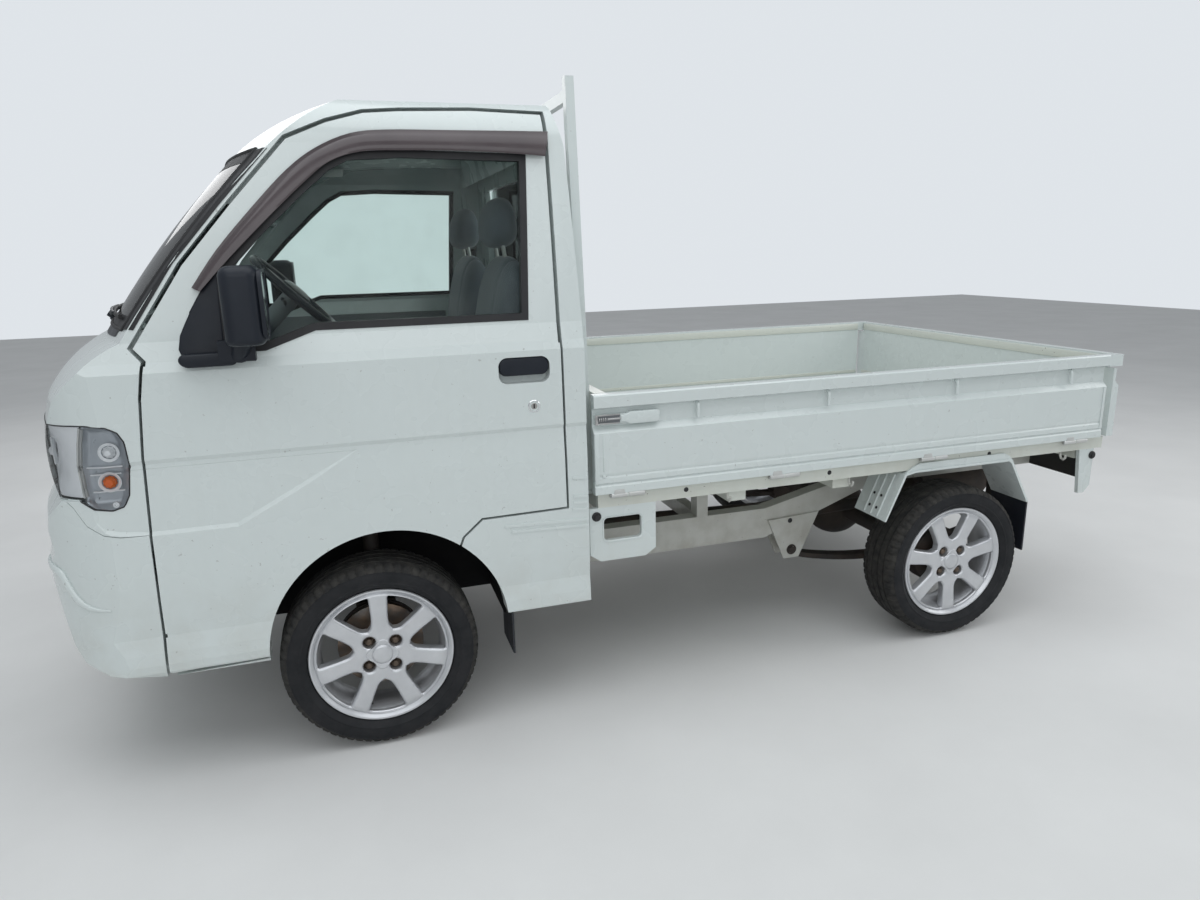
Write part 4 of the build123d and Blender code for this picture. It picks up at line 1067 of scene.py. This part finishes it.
for spot, radius in ((clear_spot, 21.0), (amber_spot, 23.0)):
    cups.turned([(radius - 5, 1.0), (radius, 4.0), (radius + 2, 3.0), (radius + 1, 0.0)], 32, [spot])
cups.turned([(0.0, 3.0), (3.0, 3.0), (3.5, 6.0), (7.0, 6.0), (8.0, 0.0), (0.0, 0.0)], 16, [screw_spot])
both_sides(cups, "lamp_cups", "reflector", ROOT)

BEAM_SHIELD = [
    (0.0, 14.0), (8.0, 12.0), (14.0, 4.0), (26.0, 1.0), (34.0, 6.0), (36.0, 4.0), (30.0, -3.0), (0.0, -3.0),
]
beam_way = (math.cos(math.radians(16)), math.sin(math.radians(16)), 0)
shield = Shape().turned(BEAM_SHIELD, 40, [around(880.0, 22.0, -17.0)], beam_way)
both_sides(shield, "beam_shield", "reflector", ROOT)

edge_heights = [758.5 + (966.5 - 758.5) * i / 30 for i in range(31)]
spans = [(z, *lamp_span(z, "whole")) for z in edge_heights]
top_rear, top_front = spans[-1][1:]
edge_path = [around(z, rear + 0.35) for z, rear, front in spans]
edge_path += [around(967.5, top_rear + (top_front - top_rear) * i / 12) for i in range(1, 12)]
edge_path += [around(z, front - 0.35) for z, rear, front in reversed(spans)]
both_sides(Shape().tube(edge_path + edge_path[:1], 1.7, 6, 1.0, False), "lamp_seal", "weather_strip", ROOT)


# Bumper: lip as direction and height with its radius, and the intake's mesh

LIP = [
    (19, 609), (24, 609), (29, 607), (33, 603), (37.7, 596), (39.5, 580), (41.5, 558), (44, 535), (47, 519),
    (51, 510), (56, 506),
]
LIP_RADII = [2.0, 4.0, 6.0, 8.0, 9.0, 9.0, 8.5, 7.5, 6.0, 4.0, 1.5]
fine_lip = finer(LIP, 5)
fine_radii = [r for r, zero in finer([(r, 0.0) for r in LIP_RADII], 5)]
centres = [around(z, a, r * 0.25) for (a, z), r in zip(fine_lip, fine_radii)]
rings = []
for i, (centre, radius) in enumerate(zip(centres, fine_radii)):
    ahead = (centres[min(i + 1, len(centres) - 1)] - centres[max(i - 1, 0)]).normalized()
    degrees, z = fine_lip[i]
    out = (around(z, degrees, 5.0) - around(z, degrees)).normalized()
    over = ahead.cross(out).normalized()
    rings.append([
        centre + out * (radius * 0.8 * math.cos(t)) + over * (radius * 1.3 * math.sin(t))
        for t in (2 * math.pi * k / 14 for k in range(15))
    ])
both_sides(Shape().grid(rings), "bumper_lip", "white_paint", ROOT, 60.0)

INTAKE_HALF = 324
stations = [-INTAKE_HALF + 2 * INTAKE_HALF * i / 24 for i in range(25)]
intake = [[from_ahead(bumper_skin, y, z, 1.5) for z in (418.0, 440.0, 470.0, 502.0)] for y in stations]
Shape().grid(intake).done("intake_back", "weather_strip", ROOT)
slats = Shape()
for z in (431.0, 446.0, 461.0, 476.0, 491.0):
    slats.tube([from_ahead(bumper_skin, y, z, 12.0) for y in stations], 3.6, 8, 0.7)
for y in (-240, -160, -80, 0, 80, 160, 240):
    slats.tube([from_ahead(bumper_skin, y, z, 9.0) for z in (420.0, 440.0, 460.0, 480.0, 500.0)], 2.4, 6)
slats.done("intake_slats", "black_plastic", ROOT)


# Bed: gates, hooks, latches and floor ribs

SILL_Y = 714.0
PIN_Y = 729.5
PIN_Z = 650.0
HOOKS = (-100.0, -535.0, -1010.0, -1480.0)
HINGES = (120.0, -390.0, -940.0, -1530.0)
LATCH = [
    (22, 862), (26, 857), (112, 857), (122, 864), (138, 866),
    (138, 884), (122, 886), (112, 892), (26, 892), (22, 888),
]

hooks = Shape()
for x in HOOKS:
    hooks.tube([(x, 712, 902), (x, 724, 901), (x, 730, 896), (x, 731.2, 888), (x, 731.2, 858)], 4.8, 12)
    hooks.turned([(0.0, 3.0), (7.5, 2.6), (9.0, 1.0), (9.0, 0.0), (0.0, 0.0)], 18, [(x, 716.0, 901)])
both_sides(hooks, "rope_hooks", "white_paint", "gate")

both_sides(Shape().prism(LATCH, "y", 714, 736.0, 2.6, 3), "gate_latch", "white_paint", "gate")
# Grey plate at the back of the latch's recess, darker than the gate's paint: painted shade in the recess
both_sides(Shape().box((140, 213), (730.5, 731.6), (862.5, 887.5), 0.5), "latch_well_painted_shade", "trim_plastic", "gate")
works = Shape().box((142, 214), (730.5, 735.0), (861, 865), 1.0)
works.box((142, 214), (730.5, 735.0), (885, 889), 1.0).box((206, 214), (730.5, 735.5), (861, 889), 1.2)
works.tube([(140, 732.6, 875), (178, 732.6, 875)], 3.4, 10)
coils = [(x, 732.0, 875.0) for x in (184, 190, 196, 202)]
works.turned([(3.6, 1.4), (5.4, 1.4), (5.4, -1.4), (3.6, -1.4)], 16, coils, FORWARD)
both_sides(works, "latch_works", "steel", "gate")

beads = Shape().box((205, 217.5), (733, 736), (690, 836), 1.2).box((188, 193), (732.5, 735), (724, 832), 1.2)
beads.box((-1636, -1626), (733, 736), (690, 836), 1.2).box((186, 196), (732.5, 735.5), (706, 716), 2.0)
both_sides(beads, "gate_beads", "white_paint", "gate")
liners = Shape().box((-1636, 214), (701.5, 705.5), (908, 938), 1.5)
liners.box((-1636, 214), (702.5, 705.5), (690, 704), 1.2)
both_sides(liners, "gate_liner", "bed_paint", "gate")


def hinge_ring(low, high):
    """Rolled barrel about the gate's pin, between two places along the truck."""
    span = high - low
    profile = [(5.9, 0.0), (6.6, 0.0), (7.7, 1.2), (7.7, span - 1.2), (6.6, span), (5.9, span)]
    return Shape().turned(profile, 24, [(x + low, PIN_Y, PIN_Z) for x in HINGES], FORWARD)


leaf = hinge_ring(2.0, 51.0)
pins = Shape()
for x in HINGES:
    leaf.prism([(x + 8, 654), (x + 44, 654), (x + 40, 668), (x + 12, 668)], "y", 733.4, 735.6, 0.8)
    for low, high in ((x - 54, x - 51), (x + 51.5, x + 54.5)):
        pins.tube([(low, PIN_Y, PIN_Z), (high, PIN_Y, PIN_Z)], 4.2, 12)
both_sides(leaf, "gate_hinge_leaf", "hinge_steel", "gate")
both_sides(hinge_ring(-51.0, -2.0), "sill_hinge_barrel", "hinge_steel", ROOT)
both_sides(pins, "hinge_pin_ends", "steel", ROOT)
# Dark strip in the gap under the gates' lower edge: a painted shadow line, not a seal of the truck
gap_painted_shadow = Shape().box((-1654, 203), (702, 714.6), (652.3, 655.8), 0.4)
both_sides(gap_painted_shadow, "sill_gap_painted_shadow", "weather_strip", ROOT)

# Hooks and holes of the sill
HOOK_BEND = [(704, 613), (704, 598), (709, 588), (718, 586), (725, 592), (726, 602)]
lower_hooks = Shape().tubes([[(x, y, z) for y, z in HOOK_BEND] for x in (-210.0, -640.0, -1500.0)], 4.0, 10)
both_sides(lower_hooks, "lower_hooks", "frame_paint", ROOT)
hole_spots = [(x, SILL_Y, 637) for x in (-70.0, -560.0, -1180.0)]
sill_holes = Shape().turned([(0.0, 0.6), (6.5, 0.6), (7.5, 0.0), (0.0, 0.0)], 18, hole_spots)
both_sides(sill_holes, "sill_holes", "weather_strip", ROOT)

floor_ribs = Shape()
for y in range(-600, 601, 120):
    floor_ribs.box((-1640, 165), (y - 22, y + 22), (659, 663.5), 2.5, 3)
floor_ribs.done("bed_floor_ribs", "bed_paint", ROOT)
wall_ribs = Shape()
for z in (700.0, 915.0):
    wall_ribs.box((168, 172.5), (-685, 685), (z - 9, z + 9), 2.0)
wall_ribs.done("front_wall_ribs", "bed_paint", ROOT)
tail_liner = Shape().box((-1666, -1662.5), (-694, 694), (908, 938), 1.5)
tail_liner.box((-1665.5, -1663), (-694, 694), (690, 704), 1.2)
tail_liner.done("tail_gate_liner", "bed_paint", "tail_gate")
tail_latches = Shape()
for side in (1, -1):
    tail_latches.box((-1696.5, -1676), (side * 560, side * 690), (866, 886), 3.0)
    tail_latches.box((-1697, -1680), (side * 640, side * 692), (870, 882), 2.0)
tail_latches.done("tail_gate_latches", "white_paint", "tail_gate")
guard_feet = Shape()
for y in (-640, 640):
    guard_feet.box((203.5, 231), (y - 21, y + 21), (645, 652), 2.0)
guard_feet.done("guard_feet", "white_paint", ROOT)


# Stoppers, side brackets, wheel guards, spring hangers

STOPPER = [(0.0, 9.0), (7.0, 9.0), (8.0, 6.0), (10.5, 6.5), (13.5, 4.0), (14.0, 0.0), (0.0, 0.0)]
stoppers = Shape().turned(STOPPER, 24, [(211.0, SILL_Y, 587.0), (-1633.0, SILL_Y, 588.0)])
both_sides(stoppers, "rubber_stoppers", "rubber", ROOT)
bracket_edges = rounded_rect(131, 545, 124, 77, 15, 5), rounded_rect(131, 545, 116, 69, 12, 5)
both_sides(opening_trim(*bracket_edges, (713, 716.5, 714.5, 700), "y"), "bracket_lip", "white_paint", ROOT)

GUARD_FRONT = [(-772, 456), (-800, 520), (-833, 594)]
GUARD_REAR = [(-1352, 460), (-1315, 528), (-1277, 596)]
guard_ribs = Shape()
for y in (610, 645, 680):
    guard_ribs.tubes([[(x, y, z) for x, z in edge] for edge in (GUARD_FRONT, GUARD_REAR)], 5.0, 8, 0.8)
both_sides(guard_ribs, "guard_ribs", "white_paint", ROOT)
hole_spots = [(x, y, z) for x, z in ((-798.0, 520.0), (-781.0, 480.0)) for y in (627, 663)]
GUARD_HOLE = [(0.0, 1.4), (4.5, 1.4), (5.0, 0.0), (0.0, 0.0)]
guard_holes = Shape().turned(GUARD_HOLE, 14, hole_spots, (0.92, 0, 0.4), LEFT)
both_sides(guard_holes, "guard_holes", "weather_strip", ROOT)

BOLT_Y = 449.0
front_eye = (-595, BOLT_Y, 281)
rear_eye = (-1500, BOLT_Y, 500)
HEX_HEAD = [(0.0, 9.0), (12.0, 8.5), (13.5, 7.0), (13.5, 0.0), (0.0, 0.0)]
WASHER = [(13.0, 2.0), (19.0, 2.0), (19.0, 0.0), (13.0, 0.0)]
bolts = Shape().turned(HEX_HEAD, 6, [front_eye]).turned(WASHER, 24, [front_eye])
bolts.turned(HEX_HEAD, 6, [rear_eye])
bolts.tubes([[(x, y, 175), (x, y, 240)] for x in (-1110, -1016) for y in (400, 432)], 6.0, 8)
both_sides(bolts, "spring_bolts", "dark_metal", ROOT)
hanger_hole = Shape().turned([(0.0, 0.8), (8.0, 0.8), (9.0, 0.0), (0.0, 0.0)], 20, [(-586, BOLT_Y, 390)])
both_sides(hanger_hole, "hanger_hole", "weather_strip", ROOT)

tank_bands = Shape().box((-491.5, -18.5), (-682.5, -449), (441, 448), 1.4)
for x in (-400, -110):
    band_x = (x - 17, x + 17)
    tank_bands.box(band_x, (-683.5, -680), (326, 564), 1.2)
    for z in ((326, 330), (560, 564)):
        tank_bands.box(band_x, (-683.5, -450), z, 1.2)
tank_bands.done("tank_bands", "strap_steel", ROOT)
FILLER_CAP = [(0.0, 12.0), (20.0, 11.0), (25.0, 7.0), (25.0, 0.0), (0.0, 0.0)]
tank_filler = Shape().tube([(-60, -676, 520), (-60, -690, 530), (-60, -697, 545)], 19.0, 18)
tank_filler.turned(FILLER_CAP, 24, [(-60, -697, 545)], (0, -0.42, 0.91), FORWARD)
tank_filler.done("tank_filler", "black_plastic", ROOT)

dampers = Shape().tube([(-1020, 462, 285), (-985, 462, 400)], 22.0, 18)
dampers.tube([(-985, 462, 395), (-950, 462, 515)], 26.0, 18)
dampers.tubes([[(-1020, 440, 285), (-1020, 484, 285)], [(-950, 438, 515), (-950, 484, 515)]], 12.0, 12)
both_sides(dampers, "rear_dampers", "dark_metal", ROOT)
PIPES = [
    [(-1050, 200, 300), (-980, 150, 360), (-900, 120, 420), (-760, 110, 430), (-300, 110, 425)],
    [(320, 300, 430), (0, 386, 432), (-300, 386, 432), (-620, 386, 455)],
]
Shape().tubes(PIPES, 5.0, 8).done("brake_pipes", "dark_metal", ROOT)


# Rear: lamps, plate

# Name, the lens's range along y, and where its ribs are
LENSES = [
    ("red", (610, 679), ()),
    ("amber", (541, 608), (553, 569, 585, 601)),
    ("pale", (472, 539), (484, 500, 516, 532)),
]
lamp_case = Shape()
for side in (1, -1):
    lamp_case.box((-1668, -1656.5), (side * 466, side * 684), (501, 589), 5.0, 3)
lamp_case.done("tail_lamp_cases", "black_plastic", ROOT, 38.0, ["tail_lamps"])
for name, (near, far), ribs in LENSES:
    lens = Shape()
    for side in (1, -1):
        lens.box((-1681, -1664), (side * near, side * far), (506, 584), 4.0, 3)
        for y in ribs:
            lens.box((-1682.4, -1680), (side * y - 2, side * y + 2), (514, 576), 1.0)
    lens.done("tail_lens_" + name, name + "_lens", ROOT)
Shape().box((-1660.5, -1658.0), (-165, 165), (407, 572), 1.0).done("rear_plate_blank", "plate_white", ROOT)
PLATE_BOLT = [(0.0, 5.0), (5.0, 4.0), (6.5, 0.0), (0.0, 0.0)]
plate_bolts = Shape().turned(PLATE_BOLT, 6, [(-1660.5, y, 552) for y in (-105, 105)], (-1, 0, 0))
plate_bolts.done("plate_bolts", "steel", ROOT)
Shape().box((-1672, -1655), (-40, 40), (584, 604), 4.0, 3).done("plate_lamp", "black_plastic", ROOT)


# Cabin

SEAT_SIDE = 330.0
CUSHION = [(446, 758), (880, 758), (925, 790), (918, 850), (868, 872), (700, 852), (446, 846)]
BACK = [(306, 800), (420, 800), (452, 868), (470, 905), (440, 1150), (402, 1300), (346, 1312), (300, 1180)]
HEADREST = [(338, 1356), (424, 1350), (434, 1410), (412, 1478), (362, 1490), (336, 1440)]


def cut_corners(points, rounds=3):
    """Closed outline with its corners cut, a few times over."""
    for step in range(rounds):
        out = []
        for (ax, az), (bx, bz) in zip(points, points[1:] + points[:1]):
            out.append((0.75 * ax + 0.25 * bx, 0.75 * az + 0.25 * bz))
            out.append((0.25 * ax + 0.75 * bx, 0.25 * az + 0.75 * bz))
        points = out
    return points


def pad(shape, outline, middle_y, half, seams, crown, sharp=5.0, steps=56):
    """Crowned cushion with a side outline, sewn along channels at given shares of its half width."""
    line = cut_corners(outline)
    cx = sum(p[0] for p in line) / len(line)
    cz = sum(p[1] for p in line) / len(line)
    rows = []
    for i in range(steps + 1):
        t = -math.cos(math.pi * i / steps)
        full = max(0.0, 1.0 - abs(t) ** sharp) ** (1 / sharp)
        swell = 1.0 + crown * (1 - t * t)
        for seam in seams:
            swell -= 0.055 * math.exp(-((abs(t) - seam) / 0.035) ** 2)
        k = full * swell
        row = [(cx + (x - cx) * k, middle_y + half * t, cz + (z - cz) * k) for x, z in line]
        rows.append(row + row[:1])
    shape.grid(rows)


cushions = Shape()
backs = Shape()
rests = Shape()
posts = Shape()
shells = Shape()
for y in (SEAT_SIDE, -SEAT_SIDE):
    pad(cushions, CUSHION, y, 228, (0.60,), 0.05)
    pad(backs, BACK, y, 222, (0.58,), 0.06)
    pad(rests, HEADREST, y, 118, (), 0.10, 3.0, 36)
    posts.tubes([[(372, y + dy, 1290), (384, y + dy, 1372)] for dy in (-60, 60)], 6.0, 10)
    shells.box((292, 306), (y - 190, y + 190), (830, 1180), 6.0)
    shells.box((440, 900), (y - 215, y + 215), (751, 766), 6.0)
seat_pads = cushions.done("seat_cushion_pads", "seat_cloth", ROOT, 60.0, ["seat_cushions"])
back_pads = backs.done("seat_back_pads", "seat_cloth", ROOT, 60.0, ["seat_backs"])
head_pads = rests.done("headrest_pads", "seat_cloth", ROOT, 60.0)
posts.done("headrest_posts", "steel", ROOT)
shells.done("seat_shells", "black_plastic", ROOT)

# Dashboard: instrument hood, middle panel, glove box, tunnel
cabin = Shape().box((1176, 1290), (-470, -190), (1085, 1150), 24.0, 5)
cabin.box((1182, 1200), (-120, 120), (920, 1075), 8.0, 3).box((1176, 1200), (150, 560), (900, 1060), 10.0, 3)
cabin.box((860, 1000), (-75, 75), (700, 735), 12.0, 3).done("dash_panels", "trim_plastic", ROOT)
# Vents, radio, instruments, gear lever and knob, stalks, pedals
GEAR_KNOB = [(0.0, 26.0), (14.0, 24.0), (20.0, 14.0), (19.0, 2.0), (10.0, -8.0), (0.0, -8.0)]
STALKS = [
    [(1040, -300, 1170), (1035, -180, 1190), (1038, -130, 1196)],
    [(1040, -360, 1170), (1035, -480, 1190), (1038, -530, 1196)],
]
dark_bits = Shape()
for y in (-525, 525, -160, 160):
    dark_bits.box((1186, 1198), (y - 42, y + 42), (1070, 1104), 4.0)
dark_bits.box((1177, 1184), (-90, 90), (990, 1050), 4.0).box((1172, 1180), (-440, -220), (1096, 1138), 6.0)
dark_bits.tube([(930, 0, 730), (925, 0, 800), (935, 0, 875)], 7.0, 12)
dark_bits.lathe(GEAR_KNOB, 24, Matrix.Translation((936, 0, 880))).tubes(STALKS, 6.0, 10)
for y in (-420, -330, -250):
    dark_bits.box((1330, 1345), (y - 30, y + 30), (470, 540), 6.0)
    dark_bits.tube([(1342, y, 530), (1360, y, 640), (1350, y, 760)], 8.0, 8)
dark_bits.done("dash_details", "black_plastic", ROOT)

HUB = [(0.0, 16.0), (40.0, 14.0), (62.0, 4.0), (66.0, -8.0), (58.0, -16.0), (0.0, -16.0)]
HUB_STEPS = 40


def hub_reach(r, w, s):
    return r * (1 - 0.12 * math.cos(4 * math.pi * s / HUB_STEPS))


hub_spot = (998, -330, 1212)
hub = Shape().turned(HUB, HUB_STEPS, [hub_spot], (-0.7071, 0, 0.7071), (0.7071, 0, 0.7071), hub_reach)
hub.done("steering_pad", "black_plastic", "steering_wheel")

inner_mirror = Shape().box((1030, 1052), (-118, 118), (1428, 1492), 9.0, 4)
inner_mirror.tube([(1048, 0, 1470), (1085, 0, 1520), (1110, 0, 1560)], 6.0, 10)
inner_mirror.done("inner_mirror", "black_plastic", ROOT)
Shape().box((1028.5, 1031), (-110, 110), (1434, 1486), 1.0).done("inner_mirror_glass", "chrome", ROOT)

# Sun visors, belts and buckles; a belt's path as x, distance in from its top, and z
BELT_Y = 598
BELT_PATH = [(318, 0, 1360), (330, 8, 1180), (350, 16, 980), (372, 20, 800), (380, 24, 740)]
STRAP_HALF = 23
STRAP_THICK = 2
SLAB_FACES = [(0, 1, 2, 3), (7, 6, 5, 4), (0, 4, 5, 1), (3, 2, 6, 7), (0, 3, 7, 4), (1, 5, 6, 2)]
BUCKLE_Y = 590
sun_visors = Shape()
belts = Shape()
buckles = Shape()
for side in (1, -1):
    sun_visors.box((800, 905), (side * 140, side * 430), (1612, 1623), 5.0, 3)
    strap = [(x, side * (BELT_Y - inward), z) for x, inward, z in BELT_PATH]
    for (ax, ay, az), (bx, by, bz) in zip(strap, strap[1:]):
        near = [(ax - STRAP_HALF, ay, az), (ax + STRAP_HALF, ay, az)]
        near += [(bx + STRAP_HALF, by, bz), (bx - STRAP_HALF, by, bz)]
        belts.add(near + [(x, y + side * STRAP_THICK, z) for x, y, z in near], SLAB_FACES)
    y = side * BUCKLE_Y
    buckles.box((300, 340), (y - 6, y + 6), (1345, 1385), 4.0)
    y = side * (BUCKLE_Y - 14)
    buckles.box((330, 366), (y - 5, y + 5), (1010, 1066), 4.0)
sun_visors.done("sun_visors", "pale_trim", ROOT)
belts.done("seat_belts", "belt_webbing", ROOT)
buckles.done("belt_buckles", "steel", ROOT)

pane_edges = rounded_rect(0, 1367.5, 876, 401, 30), rounded_rect(0, 1367.5, 836, 361, 24)
rear_seal = opening_trim(*pane_edges, (247, 237.5, 238.5, 247), "x", closed=True)
rear_seal.done("rear_window_seal", "weather_strip", ROOT)


# Studio

floor_mesh = bpy.data.meshes.new("floor")
floor_mesh.from_pydata([(-14, -14, 0), (14, -14, 0), (14, 14, 0), (-14, 14, 0)], [], [(0, 1, 2, 3)])
floor = bpy.data.objects.new("floor", floor_mesh)
bpy.context.scene.collection.objects.link(floor)
floor.data.materials.append(LOOKS["studio_floor"])


def area_light(name, location, target, size, power, colour=(1.0, 1.0, 1.0)):
    data = bpy.data.lights.new(name, "AREA")
    data.shape = "RECTANGLE"
    data.size, data.size_y = size
    data.energy = power
    data.color = colour
    obj = bpy.data.objects.new(name, data)
    obj.location = location
    aim = Vector(target) - Vector(location)
    obj.rotation_euler = aim.to_track_quat("-Z", "Y").to_euler()
    bpy.context.scene.collection.objects.link(obj)


area_light("sky_panel", (0.3, 1.5, 5.2), (0.0, 0.0, 0.5), (7.0, 5.0), 155.0, (0.95, 0.98, 1.0))
area_light("side_panel", (1.5, 6.0, 3.0), (0.0, 0.0, 0.8), (6.0, 3.0), 66.0, (0.97, 0.99, 1.0))
area_light("rear_panel", (-5.0, 1.5, 2.6), (-0.5, 0.0, 0.8), (3.0, 2.5), 40.0)
area_light("far_panel", (0.5, -5.0, 3.2), (0.0, 0.0, 0.9), (5.0, 2.5), 55.0)

# The room is brighter to the camera than it lights the truck
ROOM_LIGHT = 0.50
ROOM_SEEN = 0.95
world = bpy.data.worlds.new("studio")
bpy.context.scene.world = world
world.use_nodes = True
tree = world.node_tree
seen = new_node(tree, "LightPath", {}).outputs["Is Camera Ray"]
strength = ramp(tree, seen, 0.0, 1.0, ROOM_LIGHT, ROOM_SEEN)
fill(tree, tree.nodes["Background"], {"Color": (0.78, 0.82, 0.86, 1.0), "Strength": strength})

# Camera matched to the photograph: place in metres, focal length in pixels, turns in radians

CAMERA_AT = (0.868355, 2.842884, 1.341570)
FOCAL_PX = 812.29
IMAGE_WIDTH_PX = 1200.0
SENSOR = 36.0
TILT = 0.2446
ROLL = -0.0230
YAW = -0.3060

camera_data = bpy.data.cameras.new("camera")
camera_data.sensor_width = SENSOR
camera_data.lens = FOCAL_PX * SENSOR / IMAGE_WIDTH_PX
camera_data.clip_start = 0.05
camera = bpy.data.objects.new("camera", camera_data)
bpy.context.scene.collection.objects.link(camera)
level = Matrix(((-1, 0, 0), (0, 0, -1), (0, -1, 0)))
yaw = Matrix.Rotation(YAW, 3, "Z").transposed()
rows = Matrix.Rotation(ROLL, 3, "Z") @ Matrix.Rotation(TILT, 3, "X") @ level @ yaw
turn = Matrix((rows[0], -rows[1], -rows[2])).transposed()
camera.matrix_world = Matrix.Translation(CAMERA_AT) @ turn.to_4x4()
bpy.context.scene.camera = camera

view_settings = bpy.context.scene.view_settings
view_settings.view_transform = "Standard"
